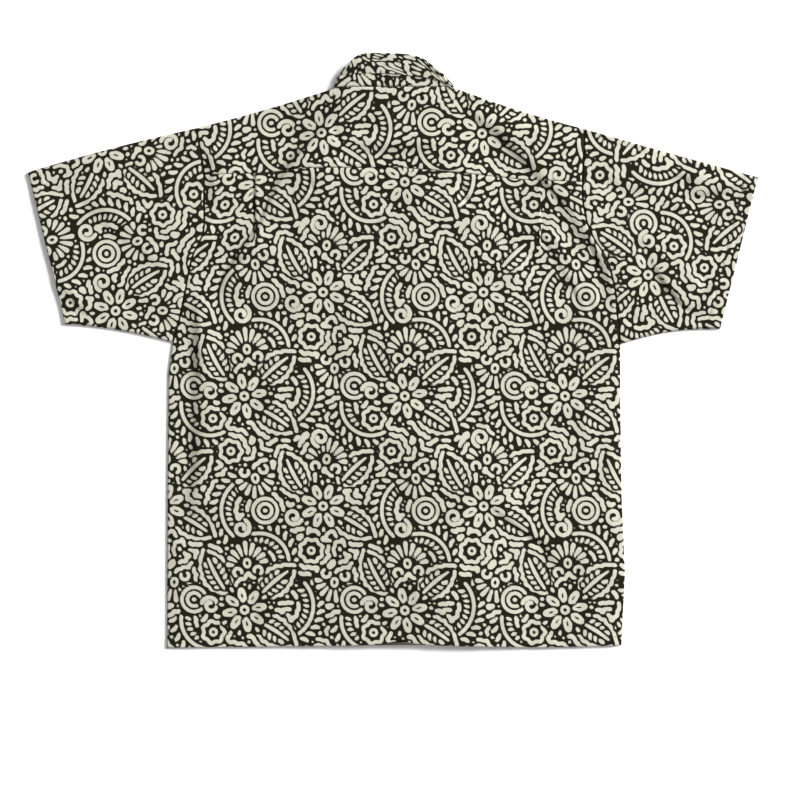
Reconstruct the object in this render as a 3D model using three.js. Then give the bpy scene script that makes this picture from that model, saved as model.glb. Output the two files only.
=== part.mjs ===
// A boxy short-sleeve shirt with a turned-down collar, a back yoke and two back pleats, laid flat
// on its front with the back up. Millimetres: +Y runs from hem to collar, +Z up from the table, and
// -X is the wearer's left side. Every piece of cloth is a wall round a grid of points on its middle
// surface, and neighbouring pieces stop a seam gap short of each other.
import * as THREE from "three";

// Cloth and gaps
const CLOTH = 1.2; // wall of a single layer
const COLLAR_CLOTH = 1.4; // the collar is stiffened
const SEAM_GAP = 0.3;
const LAYER_STEP = CLOTH + SEAM_GAP;

// Levels of middle surfaces above the table
const TABLE_LEVEL = CLOTH / 2;
const LEAF_TABLE_LEVEL = COLLAR_CLOTH / 2;
const FOLD_OPENING = 3.0; // from front layer to back layer where the cloth folds round an edge

// Overall sizes
const CENTRE_X = 2;
const FRONT_OVERLAP = 15; // each front runs this far past the centre line
const FRONT_HEM_SHORTER = 2;
const YOKE_FRONT_DEPTH = 30;

// The outline on the table, a set of corners for each side. A sag bends the straight line between
// two corners at its middle.
const LEFT = {
  sign: -1,
  neck: [-81, 352.3],
  shoulder: [-264.6, 299.6],
  cuffTop: [-492, 240.5],
  cuffBottom: [-441.5, 34.8],
  armpit: [-297, 10.8],
  shoulderSag: -1.6,
  sleeveTopSag: 2.4,
  sleeveUnderSag: 4.2,
  yokeEnd: [-254.5, 236.9],
  armhole: [
    { x: -254.2, y: 198 },
    { x: -255.6, y: 159 },
    { x: -271, y: 124 },
    { x: -280, y: 80 },
    { x: -288, y: 42 },
  ],
  side: [
    { x: -302.4, y: -31 },
    { x: -304, y: -200 },
    { x: -304.6, y: -401 },
  ],
  pleatX: -185.5,
};
const RIGHT = {
  sign: 1,
  neck: [86, 352.3],
  shoulder: [258, 298.4],
  cuffTop: [492, 233.5],
  cuffBottom: [440.8, 28.6],
  armpit: [306.5, 8.4],
  shoulderSag: -2.6,
  sleeveTopSag: -0.6,
  sleeveUnderSag: 6.4,
  yokeEnd: [255.2, 226.8],
  armhole: [
    { x: 255.6, y: 198 },
    { x: 265.5, y: 159 },
    { x: 288, y: 121 },
    { x: 299, y: 80 },
    { x: 303, y: 42 },
  ],
  side: [
    { x: 306.5, y: -60 },
    { x: 308.5, y: -200 },
    { x: 313, y: -300 },
    { x: 308, y: -398 },
  ],
  pleatX: 199.3,
};
const HEM = [
  { x: -304.6, y: -401 },
  { x: -193, y: -399.8 },
  { x: -60, y: -397.8 },
  { x: -22, y: -396.4 },
  { x: 9.5, y: -390.8 },
  { x: 38, y: -396.2 },
  { x: 94.5, y: -398.4 },
  { x: 198.5, y: -400.6 },
  { x: 308, y: -398 },
];
const YOKE_SEAM = [
  { x: -254.5, y: 236.9 },
  { x: -185, y: 238.6 },
  { x: -116, y: 245 },
  { x: 6, y: 246 },
  { x: 74, y: 240.6 },
  { x: 182, y: 229.6 },
  { x: 255.2, y: 226.8 },
];
const NECK_SEAM_Y = 353.6;
const FRONT_NECK = [
  { out: 81, y: 350 },
  { out: 75.5, y: 322 },
  { out: 62, y: 297 },
  { out: 42, y: 279 },
  { out: 20, y: 270.5 },
  { out: 0.9, y: 268 },
];

// The largest folds of the back, each a soft ridge (height above 0) or trough along its points.
const FOLDS = [
  {
    name: "left side trough",
    height: -1.1,
    width: 9,
    via: [[-273, 90], [-276, 0], [-274, -92], [-270, -235]],
  },
  {
    name: "left side ridge",
    height: 2.4,
    width: 13,
    via: [[-256, 60], [-255, -20], [-252, -110], [-250, -230]],
  },
  {
    name: "left neck ridge",
    height: 3.4,
    width: 12,
    via: [[-88, 318], [-150, 262], [-172, 200], [-205, 150], [-233, 96]],
  },
  {
    name: "left pleat ridge",
    height: 2.6,
    width: 9,
    via: [[-190, 215], [-222, 190], [-250, 160], [-268, 128]],
  },
  {
    name: "right neck ridge",
    height: 3.8,
    width: 12,
    via: [[112, 322], [158, 300], [200, 240], [240, 205], [278, 140], [296, 70]],
  },
  {
    name: "right neck trough",
    height: -1.2,
    width: 9,
    via: [[122, 300], [150, 276], [184, 232], [222, 190], [256, 140], [282, 80]],
  },
  {
    name: "right pleat ridge",
    height: 3.0,
    width: 11,
    via: [[150, 206], [188, 176], [226, 124], [256, 66], [288, 20]],
  },
  {
    name: "left sleeve ridge",
    height: 2.2,
    width: 12,
    via: [[-430, 218], [-372, 176], [-318, 150]],
  },
  {
    name: "right sleeve ridge",
    height: 2.4,
    width: 13,
    via: [[330, 150], [350, 100], [388, 66], [434, 66]],
  },
  {
    name: "right cuff ridge",
    height: 2.6,
    width: 11,
    via: [[470, 214], [420, 196], [352, 204]],
  },
];

// Plain helpers
const clamp01 = (t) => Math.min(1, Math.max(0, t));
const smooth = (from, to, t) => {
  const k = clamp01((t - from) / (to - from));
  return k * k * (3 - 2 * k);
};
const mix = (a, b, t) => a + (b - a) * t;
const mix2 = (a, b, t) => [mix(a[0], b[0], t), mix(a[1], b[1], t)];
const steps = (n) => Array.from({ length: n + 1 }, (_, i) => i / n);

// Points spread evenly by parameter along a smooth curve through a few plan points.
function along(through, count) {
  const curve = new THREE.SplineCurve(through.map((p) => new THREE.Vector2(...p)));
  return steps(count).map((t) => curve.getPoint(t).toArray());
}

// A table's y at x, by straight lines between its rows.
function tableY(table, x) {
  const i = Math.max(1, table.findIndex((row) => row.x >= x));
  const [a, b] = x >= table.at(-1).x ? [table.at(-2), table.at(-1)] : [table[i - 1], table[i]];
  return mix(a.y, b.y, (x - a.x) / (b.x - a.x));
}

// A straight edge between two corners with a sag at its middle.
const edgePoint = (a, b, sag, t) => {
  const [x, y] = mix2(a, b, t);
  return [x, y + sag * Math.sin(Math.PI * t)];
};

function distanceToPath(x, y, path) {
  let best = Infinity;
  for (let i = 1; i < path.length; i++) {
    const [ax, ay] = path[i - 1];
    const [bx, by] = path[i];
    const length2 = (bx - ax) ** 2 + (by - ay) ** 2;
    const t = clamp01(((x - ax) * (bx - ax) + (y - ay) * (by - ay)) / length2);
    best = Math.min(best, Math.hypot(x - mix(ax, bx, t), y - mix(ay, by, t)));
  }
  return best;
}

// Edges that the folds fade out at, and the side seams, where back and front meet
const EDGE_STEPS = 10;
const SIDES = [LEFT, RIGHT];
const sideSeam = (s) => [s.armpit, ...s.side.map((p) => [p.x, p.y])];
const shoulderEdge = (s, t) => edgePoint(s.neck, s.shoulder, s.shoulderSag, t);
const sleeveTop = (s, t) => edgePoint(s.shoulder, s.cuffTop, s.sleeveTopSag, t);
const sleeveUnder = (s, t) => edgePoint(s.armpit, s.cuffBottom, s.sleeveUnderSag, t);
const FOLDED_EDGES = SIDES.flatMap((s) => [
  steps(EDGE_STEPS).map((t) => shoulderEdge(s, t)),
  steps(EDGE_STEPS).map((t) => sleeveTop(s, t)),
  steps(EDGE_STEPS).map((t) => sleeveUnder(s, t)),
  sideSeam(s),
]);
const FOLD_STEPS = 14;
const FOLD_PATHS = FOLDS.map((fold) => ({ ...fold, path: along(fold.via, FOLD_STEPS) }));
const FOLD_FADE = { gone: 3, full: 26 }; // distance from an edge
const FOLD_END_FADE = 34;

// Height that the folds add to the back at a plan point.
function foldHeight(x, y) {
  const fromEdge = Math.min(...FOLDED_EDGES.map((edge) => distanceToPath(x, y, edge)));
  const fade = smooth(FOLD_FADE.gone, FOLD_FADE.full, fromEdge);
  let height = 0;
  for (const fold of FOLD_PATHS) {
    const away = distanceToPath(x, y, fold.path) / fold.width;
    const [first, last] = [fold.path[0], fold.path.at(-1)];
    const ends =
      smooth(0, FOLD_END_FADE, Math.hypot(x - first[0], y - first[1])) *
      smooth(0, FOLD_END_FADE, Math.hypot(x - last[0], y - last[1]));
    height += fold.height * Math.exp(-away * away) * ends;
  }
  return height * fade;
}

// The collar's leaf lies under the fronts at the neck, and the buttons under the front edges.
const BUTTON = { diameter: 11.4, thickness: 2.4, rim: 1.1, dish: 0.6, bevel: 0.5, taper: 0.5, sides: 14 };
const BUTTON_ROWS = { first: 236, spacing: 98, count: 6 };
const COLLAR_LIFT = { height: 1.85, inner: 112, outer: 158, low: 140, high: 230 };
const OUTER_FRONT_RISE = BUTTON.thickness + SEAM_GAP;
const INNER_FRONT_RISE = OUTER_FRONT_RISE + LAYER_STEP + SEAM_GAP;
const BACK_CENTRE_RISE = 3.8;
const RISE = { full: 21, gone: 64 }; // from the centre line, how far a front stays up and comes down

const collarLift = (x, y) =>
  COLLAR_LIFT.height *
  (1 - smooth(COLLAR_LIFT.inner, COLLAR_LIFT.outer, Math.abs(x - CENTRE_X))) *
  smooth(COLLAR_LIFT.low, COLLAR_LIFT.high, y);
const centreRise = (x) => 1 - smooth(RISE.full, RISE.gone, Math.abs(x - CENTRE_X));
const frontLevel = (x, y, rise) => TABLE_LEVEL + collarLift(x, y) + rise * centreRise(x);
const frontRise = (s) => (s.sign < 0 ? OUTER_FRONT_RISE : INNER_FRONT_RISE);

// Middle surface of the back, yoke and upper side of the sleeves
const backLevel = (x, y) =>
  TABLE_LEVEL + FOLD_OPENING + collarLift(x, y) + BACK_CENTRE_RISE * centreRise(x) + foldHeight(x, y);

// The back comes down to the fronts along the side seams.
const SIDE_SEAM_DROP = FOLD_OPENING - LAYER_STEP;
const SIDE_SEAM_REACH = 16;
function bodyBackLevel(x, y) {
  const away = Math.min(...SIDES.map((s) => distanceToPath(x, y, sideSeam(s))));
  return backLevel(x, y) - SIDE_SEAM_DROP * (1 - smooth(0, SIDE_SEAM_REACH, away));
}

// A closed wall of cloth round a grid of middle-surface points [x, y, z]. kept says which cells of
// the grid are cloth, and closed joins the last column to the first.
function clothWall(grid, { thickness = CLOTH, kept = () => true, closed = false } = {}) {
  const rows = grid.length;
  const columns = grid[0].length;
  const at = (i, j) => new THREE.Vector3(...grid[i][closed ? (j + columns) % columns : j]);
  const index = (i, j) => i * columns + (closed ? (j + columns) % columns : j);
  const half = rows * columns;
  const positions = new Float32Array(half * 6);
  for (let i = 0; i < rows; i++)
    for (let j = 0; j < columns; j++) {
      const before = closed ? j - 1 : Math.max(j - 1, 0);
      const after = closed ? j + 1 : Math.min(j + 1, columns - 1);
      const across = at(i, after).sub(at(i, before));
      const down = at(Math.min(i + 1, rows - 1), j).sub(at(Math.max(i - 1, 0), j));
      const normal = across.cross(down).normalize().multiplyScalar(thickness / 2);
      at(i, j).add(normal).toArray(positions, index(i, j) * 3);
      at(i, j).sub(normal).toArray(positions, (half + index(i, j)) * 3);
    }
  const cellColumns = closed ? columns : columns - 1;
  const isCloth = (i, j) => {
    const column = closed ? (j + cellColumns) % cellColumns : j;
    return i >= 0 && i < rows - 1 && column >= 0 && column < cellColumns && kept(i, column);
  };
  const faces = [];
  const quad = (a, b, c, d) => faces.push(a, b, c, a, c, d);
  for (let i = 0; i < rows - 1; i++)
    for (let j = 0; j < cellColumns; j++) {
      if (!isCloth(i, j)) continue;
      const [a, b, c, d] = [index(i, j), index(i, j + 1), index(i + 1, j + 1), index(i + 1, j)];
      quad(a, b, c, d);
      quad(d + half, c + half, b + half, a + half);
      if (!isCloth(i - 1, j)) quad(b, a, a + half, b + half);
      if (!isCloth(i + 1, j)) quad(d, c, c + half, d + half);
      if (!isCloth(i, j - 1)) quad(a, d, d + half, a + half);
      if (!isCloth(i, j + 1)) quad(c, b, b + half, c + half);
    }
  const geometry = new THREE.BufferGeometry();
  geometry.setAttribute("position", new THREE.BufferAttribute(positions, 3));
  geometry.setIndex(faces);
  return geometry;
}

const printedCotton = new THREE.MeshStandardMaterial({ color: "#8a8a74", roughness: 0.88, metalness: 0 });
const buttonResin = new THREE.MeshStandardMaterial({ color: "#2f2e27", roughness: 0.35, metalness: 0 });

const shirt = new THREE.Group();
function addPiece(name, geometry, material) {
  const mesh = new THREE.Mesh(geometry, material);
  mesh.name = name;
  shirt.add(mesh);
  return mesh;
}

// The armhole seam from the yoke seam's end down to the armpit, shared by body and sleeve
const ARMHOLE_STEPS = 10;
for (const s of SIDES) {
  const through = [s.yokeEnd, ...s.armhole.map((p) => [p.x, p.y]), s.armpit];
  s.armholeSeam = along(through, ARMHOLE_STEPS);
  const slope = (s.yokeEnd[0] - s.shoulder[0]) / (s.yokeEnd[1] - s.shoulder[1]);
  const y = s.shoulder[1] - YOKE_FRONT_DEPTH;
  s.frontYokeEnd = [s.shoulder[0] - slope * YOKE_FRONT_DEPTH, y];
  s.frontNeck = FRONT_NECK.map((p) => [CENTRE_X + s.sign * p.out, p.y]);
  s.frontNeck[0][0] = s.neck[0];
}

// Back panel: from the yoke seam to the hem, with a knife pleat on each side that faces outwards.
// Each row of PLEAT is a point of the pleat's section at the seam, going outwards from the middle:
// out is measured from the pleat's edge, in pleat depths, and layer in cloth layers.
const PLEAT_DEPTH = 13;
const PLEAT_LENGTH = 104;
const PLEAT_OPEN = 0.4; // above this share of its length the pleat is still folded
const PLEAT_ROOM = { inner: 44, outer: 14 }; // plain cloth starts here, from the pleat's edge
const PLEAT_SPREAD = { inner: -36, outer: 8 }; // where the pleat's points lie once it is open
const PLEAT = [
  { out: -2.6, turn: 0, layer: 0 },
  { out: -1.8, turn: 0, layer: 1 },
  { out: -1, turn: 0, layer: 2 },
  { out: -0.5, turn: 0, layer: 2 },
  { out: 0, turn: 0, layer: 2 },
  { out: 0, turn: 0.5, layer: 1.5 },
  { out: 0, turn: 0, layer: 1 },
  { out: -0.5, turn: 0, layer: 1 },
  { out: -1, turn: 0, layer: 1 },
  { out: -1, turn: -0.5, layer: 0.5 },
  { out: -1, turn: 0, layer: 0 },
  { out: -0.4, turn: 0, layer: 0 },
  { out: 0.6, turn: 0, layer: 0 },
];

// The pleat's points on one row: each is [out, up] from the pleat's edge. Below the seam the pleat
// opens first, and then its step dies away.
function pleatSection(belowSeam) {
  const share = 1 - clamp01(belowSeam / PLEAT_LENGTH);
  const closedShare = smooth(PLEAT_OPEN, 1, share);
  const heightShare = smooth(0, PLEAT_OPEN, share);
  return PLEAT.map((p, k) => {
    const flat = mix(PLEAT_SPREAD.inner, PLEAT_SPREAD.outer, k / (PLEAT.length - 1));
    const folded = p.out * PLEAT_DEPTH + p.turn * LAYER_STEP;
    return [mix(flat, folded, closedShare), p.layer * LAYER_STEP * heightShare];
  });
}

const BODY_STEPS_BELOW_ARMPIT = 11;
const BACK_COLUMNS = { side: 5, middle: 15 };
const SEAM_BEND_END = 0.45; // shares of the panel's rows that take up the seam's and the hem's bends
const HEM_BEND_START = 0.6;
const alongYoke = (t) => mix(LEFT.yokeEnd[0], RIGHT.yokeEnd[0], t);
function sideEdge(s, t) {
  const seam = sideSeam(s);
  const y = mix(seam[0][1], seam.at(-1)[1], t);
  const i = Math.max(1, seam.findIndex((p) => p[1] <= y + 1e-6));
  const [a, b] = [seam[i - 1], seam[i]];
  return [mix(a[0], b[0], (y - a[1]) / (b[1] - a[1])), y];
}
const bodyEdge = (s) => [
  ...s.armholeSeam,
  ...steps(BODY_STEPS_BELOW_ARMPIT).slice(1).map((t) => sideEdge(s, t)),
];

function backPanel() {
  const [left, right] = SIDES.map(bodyEdge);
  return left.map((start, i) => {
    const end = right[i];
    const seamward = 1 - smooth(0, SEAM_BEND_END, i / (left.length - 1));
    const hemward = smooth(HEM_BEND_START, 1, i / (left.length - 1));
    const planY = (x) => {
      const t = (x - start[0]) / (end[0] - start[0]);
      const chord = mix(start[1], end[1], t);
      const seamBend = tableY(YOKE_SEAM, alongYoke(t)) - mix(LEFT.yokeEnd[1], RIGHT.yokeEnd[1], t);
      const hemBend = tableY(HEM, x) - mix(HEM[0].y, HEM.at(-1).y, t);
      return chord + seamBend * seamward + hemBend * hemward - (i === 0 ? SEAM_GAP : 0);
    };
    const row = [];
    const place = (x, up = 0) => {
      const y = planY(x);
      row.push([x, y, bodyBackLevel(x, y) + up]);
    };
    const below = tableY(YOKE_SEAM, LEFT.pleatX) - start[1];
    const section = pleatSection(below);
    const middleStart = LEFT.pleatX + PLEAT_ROOM.inner;
    const middleEnd = RIGHT.pleatX - PLEAT_ROOM.inner;
    const leftEnd = LEFT.pleatX - PLEAT_ROOM.outer;
    const rightStart = RIGHT.pleatX + PLEAT_ROOM.outer;
    for (const t of steps(BACK_COLUMNS.side).slice(0, -1)) place(mix(start[0], leftEnd, t));
    for (const [out, up] of section.toReversed()) place(LEFT.pleatX - out, up);
    for (const t of steps(BACK_COLUMNS.middle)) place(mix(middleStart, middleEnd, t));
    for (const [out, up] of section) place(RIGHT.pleatX + out, up);
    for (const t of steps(BACK_COLUMNS.side).slice(1)) place(mix(rightStart, end[0], t));
    return row;
  });
}
addPiece("back_panel", clothWall(backPanel()), printedCotton);

// Back yoke: from the yoke seam up to the neck, and over each shoulder down to the front yoke seam
const YOKE = {
  shoulderColumns: 10,
  neckColumns: 7,
  neckInset: 7, // from the shoulder's end to the first neck column
  backRows: 7,
  turnRows: 4,
  frontRows: 2,
};
function yokePiece() {
  const columns = [
    ...steps(YOKE.shoulderColumns).map((t) => ({ side: LEFT, t: 1 - t })),
    ...steps(YOKE.neckColumns).map((t) => ({ neck: t })),
    ...steps(YOKE.shoulderColumns).map((t) => ({ side: RIGHT, t })),
  ];
  const seamX = (k) => alongYoke(k / (columns.length - 1));
  const neckFrom = LEFT.neck[0] + YOKE.neckInset;
  const neckTo = RIGHT.neck[0] - YOKE.neckInset;
  const grid = [];
  const lastRow = YOKE.backRows + YOKE.turnRows + YOKE.frontRows;
  for (let i = 0; i <= lastRow; i++)
    grid.push(
      columns.map((column, k) => {
        const low = [seamX(k), tableY(YOKE_SEAM, seamX(k))];
        if (!column.side) {
          const top = [mix(neckFrom, neckTo, column.neck), NECK_SEAM_Y];
          const [x, y] = mix2(low, top, Math.min(1, i / YOKE.backRows));
          return [x, y, backLevel(x, y)];
        }
        const edge = shoulderEdge(column.side, column.t);
        const radius = FOLD_OPENING / 2;
        const inset = [edge[0], edge[1] - radius - CLOTH / 2];
        if (i <= YOKE.backRows) {
          const [x, y] = mix2(low, inset, i / YOKE.backRows);
          return [x, y, backLevel(x, y)];
        }
        const base = frontLevel(inset[0], inset[1], 0);
        if (i <= YOKE.backRows + YOKE.turnRows) {
          const angle = (Math.PI * (i - YOKE.backRows)) / YOKE.turnRows;
          const up = radius * (1 + Math.cos(angle));
          return [inset[0], inset[1] + radius * Math.sin(angle), base + up];
        }
        const seam = mix2(column.side.frontNeck[1], column.side.frontYokeEnd, column.t);
        const down = (i - YOKE.backRows - YOKE.turnRows) / YOKE.frontRows;
        const [x, y] = mix2(inset, seam, down);
        return [x, y, frontLevel(x, y, 0)];
      }),
    );
  const firstNeckCell = YOKE.shoulderColumns;
  const lastNeckCell = firstNeckCell + YOKE.neckColumns + 1;
  const kept = (i, j) => i < YOKE.backRows || j < firstNeckCell || j > lastNeckCell;
  return clothWall(grid.toReversed(), {
    kept: (i, j) => kept(lastRow - 1 - i, j),
  });
}
addPiece("back_yoke", yokePiece(), printedCotton);

// Fronts: from the front yoke seam to the hem. The wearer's left front is the outer one and lies
// lower, on the buttons, and the right front lies on it along the middle.
const FRONT = {
  neckRows: 8,
  columns: 12,
  crowding: 1.35, // columns lie closer towards the middle
  hemBendStart: 0.7,
  hemBendShare: 0.5,
  neckDrop: 0.6, // along the level run at the neck's end
};
function frontPanel(s) {
  const rise = frontRise(s);
  const outer = [s.frontYokeEnd, ...bodyEdge(s)];
  const neck = s.frontNeckSeam;
  const last = outer.at(-1);
  const edgeX = CENTRE_X - s.sign * FRONT_OVERLAP;
  const hemY = (x) => tableY(HEM, x) + FRONT_HEM_SHORTER;
  const edgeRows = outer.length - neck.length;
  const inner = [
    ...neck,
    ...steps(edgeRows).slice(1).map((t) => [edgeX, mix(neck.at(-1)[1], hemY(edgeX), t)]),
  ];
  const grid = outer.map((start, i) => {
    const end = inner[i];
    const hemward = FRONT.hemBendShare * smooth(FRONT.hemBendStart, 1, i / (outer.length - 1));
    const row = [];
    const across = steps(FRONT.columns).map((t) => 1 - (1 - t) ** FRONT.crowding);
    for (const t of across) {
      let [x, y] = mix2(start, end, t);
      if (i === outer.length - 1) y = hemY(x);
      else y += hemward * (hemY(x) - mix(last[1], hemY(edgeX), t));
      if (i === 0) y -= SEAM_GAP;
      row.push([x, y, frontLevel(x, y, rise)]);
    }
    return s.sign < 0 ? row : row.toReversed();
  });
  return clothWall(grid);
}

// The seam of front and collar: the neck curve, then a short level run to the front's edge
for (const s of SIDES) {
  const curve = along(s.frontNeck.slice(1), FRONT.neckRows - 1);
  const end = curve.at(-1);
  s.collarSeam = curve;
  s.frontNeckSeam = [...curve, [CENTRE_X - s.sign * FRONT_OVERLAP, end[1] - FRONT.neckDrop]];
}
addPiece("front_left", frontPanel(LEFT), printedCotton);
addPiece("front_right", frontPanel(RIGHT), printedCotton);

// Sleeves: a flattened tube from the armhole seam to the cuff, folded along its top and under it
const SLEEVE = { yokeStations: 2, lengthSteps: 10, turnSteps: 4 };
const SLANTED_GAP = 1.3 * SEAM_GAP; // measured along X at the slanted armhole
function sleevePiece(s) {
  const yokeLine = steps(SLEEVE.yokeStations + 1).map((t) => mix2(s.shoulder, s.yokeEnd, t));
  const seam = [...yokeLine.slice(0, -1), ...s.armholeSeam];
  const lengths = seam.map((p, k) => (k ? Math.hypot(p[0] - seam[k - 1][0], p[1] - seam[k - 1][1]) : 0));
  let run = 0;
  const shares = lengths.map((d) => (run += d));
  const radius = FOLD_OPENING / 2;
  const inset = radius + CLOTH / 2;
  const grid = steps(SLEEVE.lengthSteps).map((v) => {
    const plan = seam.map((p, k) => {
      const w = shares[k] / run;
      const cuff = mix2(s.cuffTop, s.cuffBottom, w);
      const start = [p[0] + s.sign * SLANTED_GAP, p[1]];
      const [x, y] = mix2(start, cuff, v);
      const sag = s.sleeveTopSag * (1 - w) + s.sleeveUnderSag * w;
      return [x, y + sag * Math.sin(Math.PI * v)];
    });
    const top = plan[0];
    const under = plan.at(-1);
    const axis = [under[0] - top[0], under[1] - top[1]];
    const length = Math.hypot(...axis);
    const dir = [axis[0] / length, axis[1] / length];
    const middle = plan.slice(1, -1);
    const first = [top[0] + dir[0] * inset, top[1] + dir[1] * inset];
    const last = [under[0] - dir[0] * inset, under[1] - dir[1] * inset];
    const stations = [first, ...middle, last];
    const turn = (centre, sign) =>
      steps(SLEEVE.turnSteps).slice(1, -1).map((t) => {
        const angle = Math.PI * t;
        const out = sign * radius * Math.sin(angle);
        const up = TABLE_LEVEL + radius + sign * radius * Math.cos(angle);
        return [centre[0] + dir[0] * out, centre[1] + dir[1] * out, up];
      });
    return [
      ...stations.map(([x, y]) => [x, y, backLevel(x, y)]),
      ...turn(last, 1),
      ...stations.toReversed().map(([x, y]) => [x, y, TABLE_LEVEL]),
      ...turn(first, -1),
    ];
  });
  return clothWall(s.sign < 0 ? grid : grid.toReversed(), { closed: true });
}
addPiece("sleeve_left", sleevePiece(LEFT), printedCotton);
addPiece("sleeve_right", sleevePiece(RIGHT), printedCotton);

// Collar: one band round the neck that stands up from the neck seam, rolls over, and turns down as
// the leaf. Flattened, its back half lies on its front half, and it turns from one to the other at
// a crease on each side. The tables give plan points of the roll and of the leaf's edge.
const COLLAR = { standSteps: 4, rollSteps: 5, leafSteps: 5, creaseSteps: 6, backSteps: 16 };
const LEAF_ABOVE_STAND = 3.0;
const COLLAR_GAP = 1.2 * SEAM_GAP; // across and down from the curved front neck
const NECK_CORNER_RISE = 2;
const COLLAR_SIDES = [
  {
    side: LEFT,
    creaseNeck: [-77.6, 354.2],
    creaseRoll: [-64, 378.5],
    creaseEdgeFront: [-76.5, 360],
    creaseEdgeBack: [-70.5, 369.5],
    frontRoll: [[1.2, 299], [-22, 314], [-46, 340], [-64, 378.5]],
    frontEdge: [[-70, 236], [-90, 268], [-97, 308], [-88, 343], [-76.5, 360]],
  },
  {
    side: RIGHT,
    creaseNeck: [81, 354.2],
    creaseRoll: [66, 370],
    creaseEdgeFront: [82, 350],
    creaseEdgeBack: [80, 351],
    frontRoll: [[2.8, 299], [26, 314], [48, 338], [66, 370]],
    frontEdge: [[74, 236], [94, 268], [101, 308], [94, 338], [82, 350]],
  },
];
const BACK_ROLL = [
  [-64, 378.5],
  [-57, 386],
  [-45.5, 394.5],
  [-27, 397.2],
  [12, 396],
  [37, 391],
  [53, 380.5],
  [66, 370],
];
const BACK_EDGE = [
  [-70.5, 369.5],
  [-50, 371.4],
  [-17, 371.6],
  [6, 370],
  [32, 367.4],
  [52, 364.2],
  [67, 359.6],
  [80, 351],
];

// One section of the collar: the stand from neck to roll, the roll, and the leaf down to its edge.
// turn is -90 where the section lies on the front and 90 where it lies on the back.
function collarSection({ side, neck, roll, edge, turn }) {
  const angle = (turn * Math.PI) / 180;
  const upStand = new THREE.Vector2(roll[0] - neck[0], roll[1] - neck[1]).normalize();
  const out = new THREE.Vector2(-upStand.y, upStand.x).multiplyScalar(-side.sign);
  const under = frontLevel(neck[0], neck[1], frontRise(side));
  const over = backLevel(neck[0], neck[1]);
  const ring = (plan, low, high) => {
    const radius = (high - low) / 2;
    const bulge = radius * Math.cos(angle);
    return [plan[0] + out.x * bulge, plan[1] + out.y * bulge, low + radius * (1 + Math.sin(angle))];
  };
  const standAt = (plan) => ring(plan, under, over);
  const leafAt = (plan) => ring(plan, LEAF_TABLE_LEVEL, over + LEAF_ABOVE_STAND);
  const points = steps(COLLAR.standSteps).map((t) => standAt(mix2(neck, roll, t)));
  const [a, b] = [new THREE.Vector3(...standAt(roll)), new THREE.Vector3(...leafAt(roll))];
  const middle = a.clone().add(b).divideScalar(2);
  const spoke = a.clone().sub(middle);
  const beyond = new THREE.Vector3(upStand.x, upStand.y, 0).multiplyScalar(spoke.length());
  for (const t of steps(COLLAR.rollSteps).slice(1, -1)) {
    const p = middle.clone().addScaledVector(spoke, Math.cos(Math.PI * t));
    points.push(p.addScaledVector(beyond, Math.sin(Math.PI * t)).toArray());
  }
  for (const t of steps(COLLAR.leafSteps)) points.push(leafAt(mix2(roll, edge, t)));
  return points;
}

function collarHalf({ side, creaseNeck, creaseRoll, creaseEdgeFront, creaseEdgeBack, ...front }) {
  const corner = [creaseNeck[0], side.frontNeck[0][1] + NECK_CORNER_RISE];
  const neck = [...side.collarSeam.toReversed(), corner];
  const roll = along(front.frontRoll, neck.length);
  const edge = along(front.frontEdge, neck.length);
  const inward = (p) => [p[0] - side.sign * COLLAR_GAP, p[1] + COLLAR_GAP];
  const frontSections = neck.map((p, k) => ({
    side,
    neck: inward(p),
    roll: roll[k],
    edge: edge[k],
    turn: -90,
  }));
  const crease = steps(COLLAR.creaseSteps).map((t) => ({
    side,
    neck: creaseNeck,
    roll: creaseRoll,
    edge: mix2(creaseEdgeFront, creaseEdgeBack, t),
    turn: mix(-90, 90, t),
  }));
  return [...frontSections, ...crease];
}

function collarPiece() {
  const [left, right] = COLLAR_SIDES.map(collarHalf);
  const roll = along(BACK_ROLL, COLLAR.backSteps);
  const edge = along(BACK_EDGE, COLLAR.backSteps);
  const neckFrom = COLLAR_SIDES[0].creaseNeck;
  const neckTo = COLLAR_SIDES[1].creaseNeck;
  const back = steps(COLLAR.backSteps).slice(1, -1).map((t, k) => ({
    side: t < 0.5 ? LEFT : RIGHT,
    neck: mix2(neckFrom, neckTo, t),
    roll: roll[k + 1],
    edge: edge[k + 1],
    turn: 90,
  }));
  const sections = [...left, ...back, ...right.toReversed()];
  return clothWall(sections.map(collarSection), { thickness: COLLAR_CLOTH });
}
addPiece("collar", collarPiece(), printedCotton);

// Buttons: turned discs with a rim and a dished face, face down on the table under the outer front
function buttonShape() {
  const { diameter, thickness, rim, dish, bevel, taper, sides } = BUTTON;
  const radius = diameter / 2;
  const profile = [
    [0, dish],
    [radius - rim - bevel, dish],
    [radius - rim, 0],
    [radius - bevel, 0],
    [radius, bevel],
    [radius - taper, thickness],
    [0, thickness],
  ];
  return new THREE.LatheGeometry(profile.map((p) => new THREE.Vector2(...p)), sides).rotateX(Math.PI / 2);
}
for (let k = 0; k < BUTTON_ROWS.count; k++) {
  const button = addPiece(`button_${k + 1}`, buttonShape(), buttonResin);
  const y = BUTTON_ROWS.first - k * BUTTON_ROWS.spacing;
  const frontUnderside = frontLevel(CENTRE_X, y, OUTER_FRONT_RISE) - CLOTH / 2;
  button.position.set(CENTRE_X, y, frontUnderside - SEAM_GAP - BUTTON.thickness);
}

export default shirt;
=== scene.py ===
"""A short-sleeve shirt with a small leafy print, laid flat on its front with the back up."""
import math

import bmesh
import bpy
import numpy as np
from mathutils import Matrix, Vector


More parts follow.
